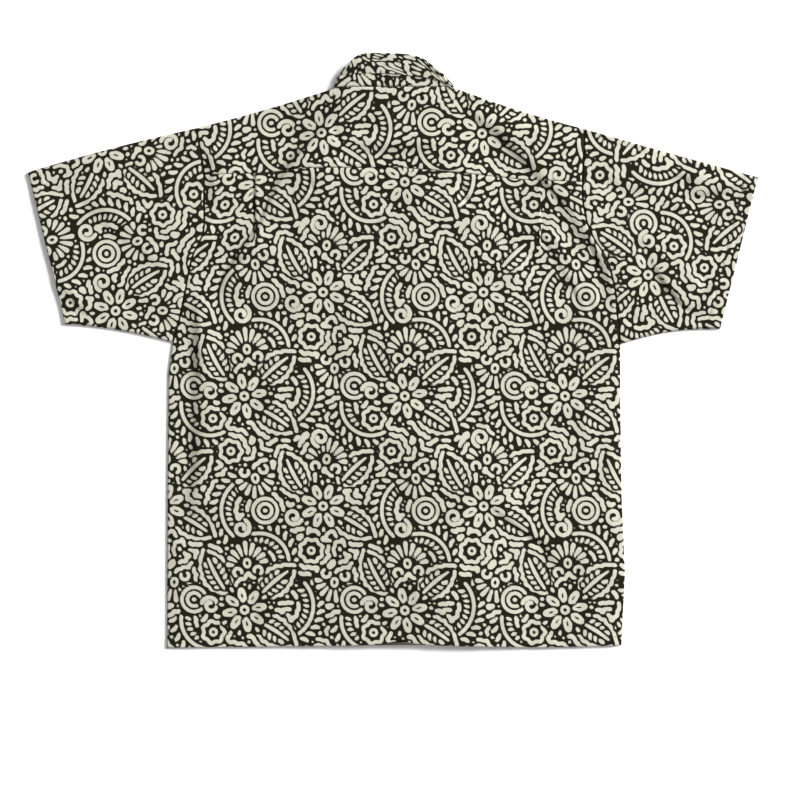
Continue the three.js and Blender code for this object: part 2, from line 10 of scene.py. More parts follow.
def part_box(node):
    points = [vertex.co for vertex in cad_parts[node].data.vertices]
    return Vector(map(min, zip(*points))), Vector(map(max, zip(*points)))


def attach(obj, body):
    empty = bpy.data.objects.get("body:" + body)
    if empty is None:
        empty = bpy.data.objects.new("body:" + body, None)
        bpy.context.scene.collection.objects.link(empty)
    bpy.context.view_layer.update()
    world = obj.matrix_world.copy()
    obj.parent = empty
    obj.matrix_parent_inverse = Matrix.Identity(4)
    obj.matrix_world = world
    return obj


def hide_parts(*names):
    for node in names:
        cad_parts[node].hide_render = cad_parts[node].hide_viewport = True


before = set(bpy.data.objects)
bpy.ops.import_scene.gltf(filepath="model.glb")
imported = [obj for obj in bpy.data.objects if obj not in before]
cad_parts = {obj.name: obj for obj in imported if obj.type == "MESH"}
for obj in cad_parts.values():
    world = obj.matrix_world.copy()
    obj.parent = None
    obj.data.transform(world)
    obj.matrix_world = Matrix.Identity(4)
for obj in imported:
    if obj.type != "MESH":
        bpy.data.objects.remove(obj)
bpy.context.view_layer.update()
MM = 0.001

# Camera, straight above the table as in the photograph
CAMERA_HEIGHT = 2.4
VIEW_WIDTH = 1.08
VIEW_CENTRE = (0.0095, -0.0672)
SENSOR_WIDTH = 36.0


def placed(name, data):
    """A new object at the origin."""
    made = bpy.data.objects.new(name, data)
    bpy.context.scene.collection.objects.link(made)
    return made


camera_data = bpy.data.cameras.new("camera")
camera_data.sensor_width = SENSOR_WIDTH
camera_data.lens = SENSOR_WIDTH * CAMERA_HEIGHT / VIEW_WIDTH
camera = placed("camera", camera_data)
camera.location = (*VIEW_CENTRE, CAMERA_HEIGHT)
bpy.context.scene.camera = camera

# Table: a plain pale sheet of painted board
TABLE_SIZE = 30.0
TABLE_TOP = -0.0002
TABLE_WHITE = (0.97, 0.97, 0.97, 1)


def finish_of(name, values):
    """A material with its shader's own values set, its node tree, and its shader."""
    material = bpy.data.materials.new(name)
    material.use_nodes = True
    shader = material.node_tree.nodes["Principled BSDF"]
    for socket, value in values.items():
        shader.inputs[socket].default_value = value
    return material, material.node_tree, shader


bm = bmesh.new()
bmesh.ops.create_grid(bm, x_segments=1, y_segments=1, size=TABLE_SIZE / 2)
bmesh.ops.translate(bm, verts=bm.verts, vec=(0, 0, TABLE_TOP))
table_mesh = bpy.data.meshes.new("table")
bm.to_mesh(table_mesh)
bm.free()
paint = {"Base Color": TABLE_WHITE, "Roughness": 0.9, "Specular IOR Level": 0.1}
table_mesh.materials.append(finish_of("table_paint", paint)[0])
table = placed("table", table_mesh)

# Lights: a soft window light from the upper right, and two wide fills
LIGHTS = [
    {"name": "window", "place": (8.8, 5.2, 6.4), "size": 4.4, "watts": 2880},
    {"name": "ceiling", "place": (0.0, -0.2, 3.0), "size": 2.6, "watts": 12},
    {"name": "far_side", "place": (-2.4, -0.6, 2.2), "size": 1.8, "watts": 7},
]
LIGHTS_AIM = (0, -0.05, 0)
ROOM_LIGHT = 0.24
for light in LIGHTS:
    lamp_data = bpy.data.lights.new(light["name"], "AREA")
    lamp_data.size = light["size"]
    lamp_data.energy = light["watts"]
    lamp = placed(light["name"], lamp_data)
    lamp.location = light["place"]
    aim = Vector(LIGHTS_AIM) - Vector(light["place"])
    lamp.rotation_euler = aim.to_track_quat("-Z", "Y").to_euler()
world = bpy.data.worlds.new("studio")
world.use_nodes = True
background = world.node_tree.nodes["Background"]
background.inputs["Color"].default_value = (1, 1, 1, 1)
background.inputs["Strength"].default_value = ROOM_LIGHT
bpy.context.scene.world = world
bpy.context.scene.view_settings.view_transform = "Standard"

# Back panel
# One piece of printed cotton from the yoke seam to the hem, with a knife pleat under the yoke on
# each side. Its sides are sewn to the fronts and sleeves, and its hem is turned up and stitched.
# Lengths of cloth are in millimetres, as the maker's pattern gives them.
CLOTH = 0.9
CLOTH_LEVEL = 0.6
FOLD_OPENING = 3.0
LAYER_STEP = 1.5
CENTRE_X = 2.0
FRONT_OVERLAP = 15.0
BACK_CENTRE_RISE = 3.8
CENTRE_FULL = 21
FRONT_LOW_AT = 64
BACK_LOW_AT = 200
COLLAR_LIFT = {"height": 1.85, "inner": 112, "outer": 158, "low": 140, "high": 230}
NECK_SEAM_Y = 353.6
NECK_RISE = {"height": 1.8, "across": 120, "down": 80}
HEM_TURN = 13.6
CUFF_TURN = 17.0

LEFT = {
    "sign": -1,
    "neck": (-81, 352.3),
    "shoulder": (-264.6, 299.6),
    "cuff_top": (-492, 240.5),
    "cuff_bottom": (-441.5, 34.8),
    "armpit": (-297, 10.8),
    "shoulder_sag": -1.6,
    "top_sag": 2.4,
    "under_sag": 4.2,
    "yoke_end": (-254.5, 236.9),
    "armhole": [(-254.2, 198), (-255.6, 159), (-271, 124), (-280, 80), (-288, 42)],
    "side": [(-302.4, -31), (-304, -200), (-304.6, -401)],
    "pleat": -185.5,
    "front_rise": 2.7,
}
RIGHT = {
    "sign": 1,
    "neck": (86, 352.3),
    "shoulder": (258, 298.4),
    "cuff_top": (492, 233.5),
    "cuff_bottom": (440.8, 28.6),
    "armpit": (306.5, 8.4),
    "shoulder_sag": -2.6,
    "top_sag": -0.6,
    "under_sag": 6.4,
    "yoke_end": (255.2, 226.8),
    "armhole": [(255.6, 198), (265.5, 159), (288, 121), (299, 80), (303, 42)],
    "side": [(306.5, -60), (308.5, -200), (313, -300), (308, -398)],
    "pleat": 199.3,
    "front_rise": 4.5,
}
SIDES = (LEFT, RIGHT)
HEM = [
    (-304.6, -401), (-193, -399.8), (-60, -397.8), (-22, -396.4), (9.5, -390.8),
    (38, -396.2), (94.5, -398.4), (198.5, -400.6), (308, -398),
]
YOKE_SEAM = [
    (-254.5, 236.9), (-185, 238.6), (-116, 245), (6, 246), (74, 240.6), (182, 229.6), (255.2, 226.8),
]

# Folds of the cloth. Each is a ridge, or a trough where its height is below 0. Left and right say
# how wide it is on each side of the way along it: narrow is steep. A hollow lies along the foot of
# its right side. The columns are height, hollow, left, right and the points that it passes.
MAIN_FOLDS = [
    (5.6, 3.0, 110, 17, [(-260, 110), (-258, 50), (-256, 0), (-255, -90), (-258, -180), (-264, -290)]),
    (1.6, 0.6, 14, 6, [(-263, 80), (-260, 40), (-259, -10), (-259, -50)]),
    (3.6, 2.8, 70, 9, [
        (-52, 334), (-84, 300), (-106, 280), (-128, 256), (-146, 230), (-160, 204), (-172, 178),
        (-188, 150), (-206, 124), (-224, 96), (-236, 54),
    ]),
    (1.2, 1.2, 40, 8, [(-80, 300), (-102, 284), (-118, 268), (-140, 242)]),
    (2.8, 2.2, 60, 10, [(-168, 184), (-190, 148), (-212, 114), (-224, 95), (-234, 56)]),
    (4.0, 4.0, 130, 12.5, [(88, 332), (128, 310), (148, 296), (166, 276), (186, 256), (222, 218)]),
    (2.6, 2.6, 110, 11, [(184, 256), (226, 209), (244, 180), (268, 144)]),
    (3.2, 2.6, 90, 12, [(246, 188), (270, 146), (286, 118), (296, 92), (300, 50)]),
    (2.4, 2.4, 70, 9, [
        (180, 178), (205, 153), (217, 134), (230, 114), (244, 89), (254, 66), (266, 28),
    ]),
    (2.0, 1.2, 60, 10, [(-246, 290), (-241, 250), (-238, 222), (-238, 184)]),
    (1.5, 1.3, 70, 8, [(110, -184), (150, -219), (175, -239), (206, -260), (232, -304)]),
    (1.3, 1.1, 46, 9, [(-70, -150), (-116, -188), (-156, -232)]),
    (7.0, 0, 100, 90, [(70, -60), (92, -160), (92, -280), (60, -460)]),
    (1.9, 1.5, 30, 9, [(-74, 284), (-26, 276), (34, 277), (90, 290)]),
    (3.4, 2.6, 34, 10, [(388, 214), (434, 216), (454, 223), (484, 240)]),
    (1.8, 1.4, 22, 7, [(356, 236), (386, 238), (412, 230)]),
    (1.6, 1.6, 60, 11, [(266, 252), (306, 228), (340, 224), (386, 232)]),
    (2.6, 2.0, 60, 8, [(346, 134), (366, 97), (378, 81), (390, 68), (404, 59), (424, 58)]),
    (2.0, 0.8, 14, 10, [(404, 56), (424, 66), (434, 84), (448, 106)]),
    (1.8, 1.6, 46, 9, [(-430, 230), (-392, 184), (-362, 158), (-332, 134), (-294, 104)]),
    (1.6, 0.8, 20, 8, [(-458, 106), (-426, 64), (-394, 46)]),
]
CREASES = [
    (-1.6, 0, 3.4, 3.4, [(-160, 232), (-168, 213), (-172, 200), (-178, 180), (-188, 160), (-201, 140)]),
    (-1.8, 0, 3.8, 3.8, [(-208, 128), (-222, 115), (-232, 100), (-238, 76)]),
    (-1.2, 0, 3.4, 3.4, [(-200, 108), (-212, 124), (-222, 116)]),
    (-1.3, 0, 3.4, 3.4, [(-218, 198), (-232, 178), (-245, 160)]),
    (-1.5, 0, 4.0, 4.0, [(-252, 142), (-264, 128), (-274, 110)]),
    (-1.2, 0, 3.8, 3.8, [(-92, 292), (-108, 287), (-122, 273), (-138, 254)]),
    (-1.2, 0, 3.2, 3.2, [(-82, 304), (-76, 290), (-69, 276)]),
    (-1.1, 0, 3.6, 3.6, [(-124, 238), (-112, 226), (-106, 206)]),
    (-1.0, 0, 3.4, 3.4, [(-272, -18), (-264, -34), (-252, -54)]),
    (0.9, 0, 8, 6, [(-196, 196), (-214, 164), (-236, 138)]),
    (-1.4, 0, 4.0, 4.0, [(196, 232), (218, 206), (232, 192), (246, 168)]),
    (-1.3, 0, 3.6, 3.6, [(252, 160), (266, 138), (274, 118), (277, 96)]),
    (-1.3, 0, 3.6, 3.6, [(190, 158), (202, 146), (212, 130), (223, 109)]),
    (-1.1, 0, 4.2, 4.2, [(229, 100), (239, 82), (250, 62), (258, 42)]),
    (-2.4, 0, 4.2, 5.0, [(91, 232), (95, 212), (99, 200), (112, 192)]),
    (-2.0, 0, 4.4, 4.4, [(136, 202), (146, 190), (168, 172)]),
    (1.2, 0, 7, 5, [(208, 168), (230, 134), (248, 104)]),
    (1.0, 0, 7, 6, [(258, 92), (270, 72), (280, 46)]),
    (-0.9, 0, 5, 5, [(108, 322), (110, 306), (124, 300)]),
    (-1.1, 0, 4.2, 4.2, [(122, -202), (146, -226), (172, -246), (198, -264), (220, -298)]),
    (-1.0, 0, 6, 6, [(-96, -164), (-124, -190), (-158, -224)]),
    (-1.3, 0, 5, 5, [(410, 202), (436, 205), (456, 212), (474, 224)]),
    (-1.3, 0, 4.5, 4.5, [(370, 224), (388, 226), (406, 224)]),
    (-1.0, 0, 4.0, 4.0, [(372, 194), (382, 186), (392, 176)]),
    (-1.4, 0, 4.0, 4.0, [(346, 118), (360, 92), (372, 75), (386, 59), (402, 50), (418, 47)]),
    (-1.1, 0, 4.0, 4.0, [(420, 48), (432, 60), (440, 78), (450, 88)]),
    (-1.0, 0, 5.0, 5.0, [(322, 152), (338, 134), (346, 112)]),
    (-1.2, 0, 4.5, 4.5, [(312, 50), (326, 40), (344, 34)]),
    (0.9, 0, 8, 6, [(392, 120), (402, 96), (416, 78)]),
    (-1.1, 0, 4.6, 4.6, [(-412, 206), (-394, 184), (-364, 160), (-334, 134)]),
    (-0.9, 0, 4.0, 4.0, [(-456, 204), (-446, 188), (-438, 174)]),
    (-1.1, 0, 4.0, 4.0, [(-446, 86), (-432, 62), (-410, 44)]),
    (-0.8, 0, 5.0, 5.0, [(-394, 118), (-374, 128), (-350, 132)]),
    (-0.8, 0, 4.0, 4.0, [(-366, 76), (-360, 64), (-362, 50)]),
    (-0.9, 0, 4.0, 4.0, [(-300, 216), (-294, 230), (-280, 236)]),
    (-1.1, 0, 4.5, 4.5, [(-300, 30), (-322, 44), (-346, 40)]),
    (-0.9, 0, 6, 6, [(-30, 297), (0, 294), (26, 296)]),
    (0.9, 0, 8, 7, [(-66, 286), (-20, 280), (40, 282), (84, 290)]),
    (-1.1, 0, 12, 12, [(-92, 30), (-84, -20), (-66, -58)]),
    (-0.8, 0, 8, 8, [(92, -20), (112, -80), (108, -130)]),
    (1.0, 0, 10, 8, [(-62, 110), (-54, 60), (-66, 10)]),
    (-0.9, 0, 7, 7, [(-212, -300), (-190, -342), (-184, -392)]),
    (0.8, 0, 12, 9, [(-176, -40), (-150, -120), (-158, -200)]),
    (-0.8, 0, 7, 7, [(44, -206), (66, -232), (72, -268)]),
    (0.9, 0, 10, 7, [(252, -60), (262, -140), (254, -230)]),
    (0.9, 0, 10, 8, [(20, -290), (34, -340), (28, -392)]),
    (-0.8, 0, 6, 6, [(96, -330), (104, -362), (98, -394)]),
    (-0.8, 0, 6, 6, [(246, -320), (254, -356), (248, -396)]),
    (-1.0, 0, 4, 4, [(-206, 296), (-232, 276), (-246, 250)]),
]
FOLD_END_SHARE = 0.34
FOLD_REACH = 2.6
FOOT_PLACE = 1.41
FOOT_SPREAD = 3.6
FOOT_REACH = 4.2
FOLD_FADE = (2, 22)
CREASE_FADE = (1, 12)
LINE_STEPS = 60


def smooth(start, end, t):
    k = np.clip((t - start) / (end - start), 0, 1)
    return k * k * (3 - 2 * k)


def swell(away, width):
    """1 on a line, falling softly to nothing about two widths away."""
    return np.exp(-((away / width) ** 2))


def mix(a, b, t):
    return np.asarray(a, float) + (np.asarray(b, float) - np.asarray(a, float)) * t


def unit(v):
    return v / np.linalg.norm(v, axis=-1, keepdims=True)


def run_along(points):
    """How far along a line of points each of them lies."""
    return np.concatenate([[0], np.cumsum(np.linalg.norm(np.diff(points, axis=0), axis=1))])


def smooth_line(through, count):
    """Points along a smooth curve through a few points, evenly by parameter."""
    knots = np.asarray(through, float)
    knots = np.vstack([knots[:1], knots, knots[-1:]])
    t = np.linspace(0, len(through) - 1, count)
    k = np.minimum(t.astype(int), len(through) - 2)
    f = (t - k)[:, None]
    a, b, c, d = knots[k], knots[k + 1], knots[k + 2], knots[k + 3]
    bend = 2 * a - 5 * b + 4 * c - d
    twist = 3 * b - a - 3 * c + d
    return 0.5 * (2 * b + (c - a) * f + bend * f**2 + twist * f**3)


def from_path(x, y, path):
    """How far points are from a path, how far along it they lie, and 1 where they are left of it."""
    away = np.full(x.shape, 1e9)
    reach = np.zeros(x.shape)
    side = np.ones(x.shape)
    run = 0.0
    for (ax, ay), (bx, by) in zip(path[:-1], path[1:]):
        length = math.hypot(bx - ax, by - ay) + 1e-9
        t = np.clip(((x - ax) * (bx - ax) + (y - ay) * (by - ay)) / length**2, 0, 1)
        d = np.hypot(x - ax - t * (bx - ax), y - ay - t * (by - ay))
        nearer = d < away
        away = np.where(nearer, d, away)
        reach = np.where(nearer, run + t * length, reach)
        side = np.where(nearer, np.sign((bx - ax) * (y - ay) - (by - ay) * (x - ax)), side)
        run += length
    return away, reach, side


def near_path(x, y, path, margin):
    """Which points lie in a path's box, grown by a margin."""
    (x0, y0), (x1, y1) = path.min(0) - margin, path.max(0) + margin
    return (x > x0) & (x < x1) & (y > y0) & (y < y1)


def sagging(a, b, sag, t):
    line = mix(a, b, np.asarray(t)[..., None])
    line[..., 1] += sag * np.sin(math.pi * np.asarray(t))
    return line


def fold_height(x, y, folds, end_share):
    """What a table of folds adds to the cloth's height."""
    total = np.zeros(x.shape)
    for height, hollow, left, right, via in folds:
        path = smooth_line(via, 5 * len(via))
        near = near_path(x, y, path, FOLD_REACH * max(left, FOOT_REACH * right))
        if not near.any():
            continue
        away, run, side = from_path(x[near], y[near], path)
        length = np.hypot(*np.diff(path, axis=0).T).sum()
        ends = smooth(0, end_share * length, run) * smooth(0, end_share * length, length - run)
        from_crest = away * side
        from_foot = from_crest + FOOT_PLACE * right
        ridge = height * swell(from_crest, np.where(from_crest > 0, left, right))
        foot = hollow * swell(from_foot, np.where(from_foot > 0, right, FOOT_SPREAD * right))
        total[near] += (ridge - foot) * ends
    return total


edge_t = np.linspace(0, 1, 11)
FOLDED_EDGES = []
for side in SIDES:
    side["armhole_line"] = smooth_line([side["yoke_end"], *side["armhole"], side["armpit"]], LINE_STEPS)
    side["side_line"] = np.array([side["armpit"], *side["side"]], float)
    side["shoulder_line"] = sagging(side["neck"], side["shoulder"], side["shoulder_sag"], edge_t)
    side["top_line"] = sagging(side["shoulder"], side["cuff_top"], side["top_sag"], edge_t)
    side["under_line"] = sagging(side["armpit"], side["cuff_bottom"], side["under_sag"], edge_t)
    side["cuff_line"] = np.array([side["cuff_top"], side["cuff_bottom"]], float)
    FOLDED_EDGES += [side[line] for line in ("shoulder_line", "top_line", "under_line", "side_line")]
HEM_LINE = np.array(HEM, float)
YOKE_LINE = np.array(YOKE_SEAM, float)
SEAMS = [YOKE_LINE, LEFT["armhole_line"], RIGHT["armhole_line"]]
SEAMS += [np.array([side["shoulder"], side["yoke_end"]], float) for side in SIDES]
TURNED_EDGES = [(HEM_LINE, HEM_TURN), (LEFT["cuff_line"], CUFF_TURN), (RIGHT["cuff_line"], CUFF_TURN)]


def collar_lift(x, y):
    """How far the collar's points, which lie below, lift the layers over them."""
    inward = 1 - smooth(COLLAR_LIFT["inner"], COLLAR_LIFT["outer"], np.abs(x - CENTRE_X))
    return COLLAR_LIFT["height"] * inward * smooth(COLLAR_LIFT["low"], COLLAR_LIFT["high"], y)


def centre_rise(x, low_at=FRONT_LOW_AT):
    return 1 - smooth(CENTRE_FULL, low_at, np.abs(x - CENTRE_X))


# The slow unevenness of cotton that has been smoothed out by hand: crossing waves. The lengths are
# for one radian, and a wave's crests bend sideways by a few radians over their own bend length.
UNEVENNESS = [
    {"height": 0.55, "first": (31, 57, 0, 1, 0.6), "second": (43, -90, 0, 1, 1.1)},
    {"height": 0.40, "first": (12.5, 19, 1.8, 70, 0), "second": (15, -27, 1.5, 58, 0)},
    {"height": 0.11, "first": (6.1, -8.3, 2.0, 41, 0), "second": (7.2, 12, 1.7, 33, 0)},
]


def wave(along, across, sizes):
    length, slant, bend, bend_length, shift = sizes
    return np.sin(along / length + across / slant + bend * np.sin(across / bend_length) + shift)


def undulation(x, y):
    return sum(w["height"] * wave(x, y, w["first"]) * wave(y, x, w["second"]) for w in UNEVENNESS)


SEAM_DITCH = {"depth": 0.55, "width": 1.7}
SEAM_PUCKER = {"height": 0.20, "width": 6.5, "reach": 24}
HEM_THICKNESS = 0.5
HEM_GROOVE = {"depth": 0.42, "width": 1.1}
HEM_TWIST = {"height": 0.17, "width": 7.5, "slant": 0.8}


def seam_relief(x, y):
    """The ditch of a seam and the small puckers that its thread draws beside it."""
    height = np.zeros(x.shape)
    for line in SEAMS:
        near = near_path(x, y, line, SEAM_PUCKER["reach"])
        if not near.any():
            continue
        away, run, _ = from_path(x[near], y[near], line)
        pucker = np.sin(run / 2.1 + 1.6 * np.sin(run / 17)) * (0.6 + 0.4 * np.sin(run / 29 + 1))
        height[near] += SEAM_PUCKER["height"] * pucker * swell(away, SEAM_PUCKER["width"])
        height[near] -= SEAM_DITCH["depth"] * swell(away, SEAM_DITCH["width"])
    return height


def turned_edge(x, y):
    """The hem and the cuffs: a second layer turned inside, a stitched groove, and a slight twist."""
    height = np.zeros(x.shape)
    for line, turn in TURNED_EDGES:
        away, run, _ = from_path(x, y, line)
        height += HEM_THICKNESS * (1 - smooth(turn - 1.2, turn + 1.2, away))
        height -= HEM_GROOVE["depth"] * swell(away - turn, HEM_GROOVE["width"])
        twist = np.sin((run + HEM_TWIST["slant"] * away) / 2.3 + 1.5 * np.sin(run / 23))
        height += HEM_TWIST["height"] * twist * swell(away - turn, HEM_TWIST["width"])
    return height


def edge_fade(x, y, start, end):
    away = np.min([from_path(x, y, line)[0] for line in FOLDED_EDGES], axis=0)
    return smooth(start, end, away)


def front_level(x, y, rise):
    """Height of a front's middle above the table."""
    return CLOTH_LEVEL + collar_lift(x, y) + rise * centre_rise(x)


def back_lie(x, y):
    """Height of the upper layer before its folds."""
    return CLOTH_LEVEL + FOLD_OPENING + collar_lift(x, y) + BACK_CENTRE_RISE * centre_rise(x, BACK_LOW_AT)


LOWEST_BACK = CLOTH_LEVEL + LAYER_STEP
LOWEST_SOFTNESS = 0.5


def back_level(x, y):
    """Height of the upper layer's middle above the table, which never comes down on the lower one."""
    neck = swell(y - NECK_SEAM_Y, NECK_RISE["down"]) * swell(x - CENTRE_X, NECK_RISE["across"])
    lie = back_lie(x, y) + NECK_RISE["height"] * neck
    folds = fold_height(x, y, MAIN_FOLDS, FOLD_END_SHARE) * edge_fade(x, y, *FOLD_FADE)
    small = fold_height(x, y, CREASES, FOLD_END_SHARE) + undulation(x, y) + seam_relief(x, y)
    level = lie + folds + small * edge_fade(x, y, *CREASE_FADE) + turned_edge(x, y)
    clear = (level - LOWEST_BACK) / LOWEST_SOFTNESS
    return LOWEST_BACK + LOWEST_SOFTNESS * np.logaddexp(0, clear)


# The print: a generic block print of open flowers, leaves, fans and sprigs, drawn stroke by
# stroke with a dark line left round each, and short echoing strokes between them. A stroke is
# rows of x, y and width. The field is above 0 where the cloth is pale, in millimetres.
REPEAT = (216.0, 288.0)
FIELD_STEP = 0.6
STROKE = 4.7
GAP = 3.1
STROKE_REACH = 12.0
PRINT_ROUNDING = 0.8
PALE_SHARE = 0.465
FIELD_LIMIT = 2.4


def arc(radius, start, end, width, steps=22):
    angle = np.radians(np.linspace(start, end, steps))
    return np.column_stack([radius * np.cos(angle), radius * np.sin(angle), np.full(steps, width)])


def dab(start, end, bend, widths):
    """A short brush stroke, bowed sideways by a share of its length."""
    a, b = np.asarray(start, float), np.asarray(end, float)
    t = np.linspace(0, 1, 7)[:, None]
    line = a + (b - a) * t + np.array([a[1] - b[1], b[0] - a[0]]) * bend * np.sin(math.pi * t)
    return np.column_stack([line, np.interp(t[:, 0], np.linspace(0, 1, len(widths)), widths)])


def disc(size):
    """The plain ground that a round motif clears for itself."""
    return dab((-1, 0), (1, 0), 0, [size] * 2)


def spun(line, turn, centre=(0, 0)):
    c, s = math.cos(math.radians(turn)), math.sin(math.radians(turn))
    x, y = line[:, 0] * c - line[:, 1] * s, line[:, 0] * s + line[:, 1] * c
    return np.column_stack([x + centre[0], y + centre[1], line[:, 2]])


# Each motif returns its strokes, the slits cut in them, and its ground.
def open_flower(size, petals):
    part = 360 / petals
    wide = 2 * math.pi * size * 0.62 / petals - GAP
    petal = dab((size * 0.38, 0), (size * 0.86, 0), 0, [3.4, wide * 0.94, wide, wide * 0.8])
    slit = dab((size * 0.5, 0), (size * 0.76, 0), 0, [2.0, 3.4, 2.6])
    bud = dab((size * 0.98, 0), (size * 1.1, 0), 0, [3.4, 4.8])
    strokes = [spun(petal, k * part) for k in range(petals)]
    strokes += [spun(bud, (k + 0.5) * part) for k in range(petals)]
    strokes.append(arc(4.7, 0, 360, 3.6))
    return strokes, [spun(slit, k * part) for k in range(petals)], disc(2 * size)


def leaf(length, width, pairs):
    u = np.linspace(0, 1, 40)
    half = width * np.sin(math.pi * u**0.85) ** 0.8
    x = (u - 0.5) * length
    tooth = 1.7 * np.sin(u * pairs * 2 * math.pi * 1.25) * np.sin(math.pi * u)
    strokes = []
    for sign in (-1, 1):
        strokes.append(np.column_stack([x, sign * (half + tooth), np.full(40, STROKE)]))
        for k in range(pairs):
            base = -length * 0.33 + k * 7.9
            room = float(np.interp(base + 6, x, half)) - STROKE / 2 - GAP
            if room > 7:
                tip = (base + 6, sign * (room - 1.4))
                strokes.append(dab((base, sign * 6.4), tip, 0.1 * sign, [3.8, 5.6, 3.6]))
    strokes.append(dab((-length * 0.4, 0), (length * 0.3, 0), 0.03, [3.4, 4.8, 3.2]))
    ground = np.column_stack([x, 0 * x, 2 * half])
    return strokes, [], ground


def fan(size, blades):
    strokes = []
    for k in range(blades):
        a = math.radians(-78 + 156 * k / (blades - 1))
        low, high = size * 0.5, size * (1.04 - 0.2 * abs(math.sin(a)))
        way = np.array([math.sin(a), math.cos(a)])
        strokes.append(dab(low * way, high * way, 0.04 * math.sin(a), [3.0, 4.4, 6.2]))
    for sign in (-1, 1):
        strokes.append(arc(5.4, 200, -60, 4.2) * (sign, 1, 1) + (sign * size * 0.44, -size * 0.2, 0))
    strokes.append(arc(4.0, 0, 360, 3.4) * (1, 1.35, 1) + (0, size * 0.16, 0))
    return strokes, [], dab((0, size * 0.3), (0, size * 0.5), 0, [size * 1.5, size * 1.3])


def sprig(radius, leaves):
    middle = (-radius, 0, 0)
    outer = dab((radius + 7.0, -2.6), (radius + 15.0, 2.8), 0.1, [3.8, 5.8, 4.0])
    inner = dab((radius - 6.8, -2.4), (radius - 13.0, 2.0), 0.1, [3.4, 4.8, 3.2])
    strokes = []
    for angle in np.linspace(-56, 56, leaves):
        strokes += [spun(outer, angle) + middle, spun(inner, angle) + middle]
    strokes.append(arc(radius, -62, 62, 4.4) + middle)
    return strokes, [], arc(radius + 1, -60, 60, 26) + middle


def rings(size):
    strokes = [dab((-0.6, 0), (0.6, 0), 0, [5.2, 5.2])]
    radius = 9.0
    while radius < size:
        strokes.append(arc(radius, 20, 372, 4.2))
        radius += STROKE + GAP - 0.2
    return strokes, [], disc(2 * size)


def rosette(size, petals):
    ring = arc(size, 0, 360, 4.4, 60)
    ring[:, :2] *= (1 + 0.11 * np.cos(petals * np.radians(np.linspace(0, 360, 60))))[:, None]
    return [ring, arc(4.4, 0, 360, 3.4)], [], disc(1.7 * size)


def scroll(size):
    angle = np.linspace(0.6, 2 * math.pi * 1.35, 34)
    reach = 2.6 + (STROKE + GAP) * angle / (2 * math.pi) * size / 13
    line = np.column_stack([reach * np.cos(angle), reach * np.sin(angle), np.full(34, STROKE)])
    return [line], [], disc(size)


# The layout of one repeat: the motif, its place, its turn in degrees, and its sizes.
MOTIFS = [
    (sprig, (146, 60), -20, {"radius": 46, "leaves": 11}),
    (sprig, (26, 214), 168, {"radius": 46, "leaves": 11}),
    (sprig, (96, 168), 60, {"radius": 40, "leaves": 9}),
    (sprig, (204, 24), 236, {"radius": 40, "leaves": 9}),
    (leaf, (98, 40), -32, {"length": 66, "width": 19, "pairs": 5}),
    (leaf, (16, 122), 118, {"length": 66, "width": 19, "pairs": 5}),
    (leaf, (100, 110), 40, {"length": 62, "width": 18, "pairs": 5}),
    (leaf, (204, 186), -30, {"length": 66, "width": 19, "pairs": 5}),
    (leaf, (122, 256), 118, {"length": 62, "width": 18, "pairs": 5}),
    (leaf, (206, 262), 44, {"length": 62, "width": 18, "pairs": 5}),
    (fan, (60, 128), 6, {"size": 31, "blades": 9}),
    (fan, (166, 268), -8, {"size": 31, "blades": 9}),
    (fan, (70, 252), 190, {"size": 29, "blades": 8}),
    (fan, (178, 112), 172, {"size": 29, "blades": 8}),
    (rosette, (14, 40), 0, {"size": 14, "petals": 7}),
    (rosette, (146, 150), 20, {"size": 15, "petals": 8}),
    (rosette, (38, 284), 0, {"size": 14, "petals": 7}),
    (rings, (204, 84), 0, {"size": 18}),
    (rings, (84, 204), 0, {"size": 18}),
    (scroll, (10, 76), 40, {"size": 12}),
    (scroll, (122, 196), 220, {"size": 12}),
    (scroll, (158, 14), 130, {"size": 12}),
    (scroll, (52, 180), 300, {"size": 12}),
    (open_flower, (56, 70), 10, {"size": 30, "petals": 8}),
    (open_flower, (162, 210), 24, {"size": 30, "petals": 8}),
]
SHAPE = (round(REPEAT[1] / FIELD_STEP), round(REPEAT[0] / FIELD_STEP))
ECHO = {"step": 1.3, "shortest": 14, "longest": 56, "seed": 11, "wave": 1.2, "wave_length": 1.75}
SMALLEST_DOT = 1.1


def around_line(line):
    """The cells round a stroke, and how deep each lies inside it."""
    low, high = line[:, :2].min(0) - STROKE_REACH, line[:, :2].max(0) + STROKE_REACH
    low, high = np.floor(low / FIELD_STEP).astype(int), np.ceil(high / FIELD_STEP).astype(int)
    c, r = np.arange(low[0], high[0]), np.arange(low[1], high[1])
    x, y = np.meshgrid((c + 0.5) * FIELD_STEP, (r + 0.5) * FIELD_STEP)
    depth = np.full(x.shape, -STROKE_REACH)
    for (ax, ay, aw), (bx, by, bw) in zip(line[:-1], line[1:]):
        span = (bx - ax) ** 2 + (by - ay) ** 2 + 1e-9
        t = np.clip(((x - ax) * (bx - ax) + (y - ay) * (by - ay)) / span, 0, 1)
        away = np.hypot(x - ax - t * (bx - ax), y - ay - t * (by - ay))
        depth = np.maximum(depth, (aw + (bw - aw) * t) / 2 - away)
    return np.ix_(r % SHAPE[0], c % SHAPE[1]), depth


def draw(ink, line):
    """One pale stroke, with a dark line round it."""
    cells, depth = around_line(line)
    ink[cells] = np.maximum(np.minimum(ink[cells], -depth - GAP), depth)


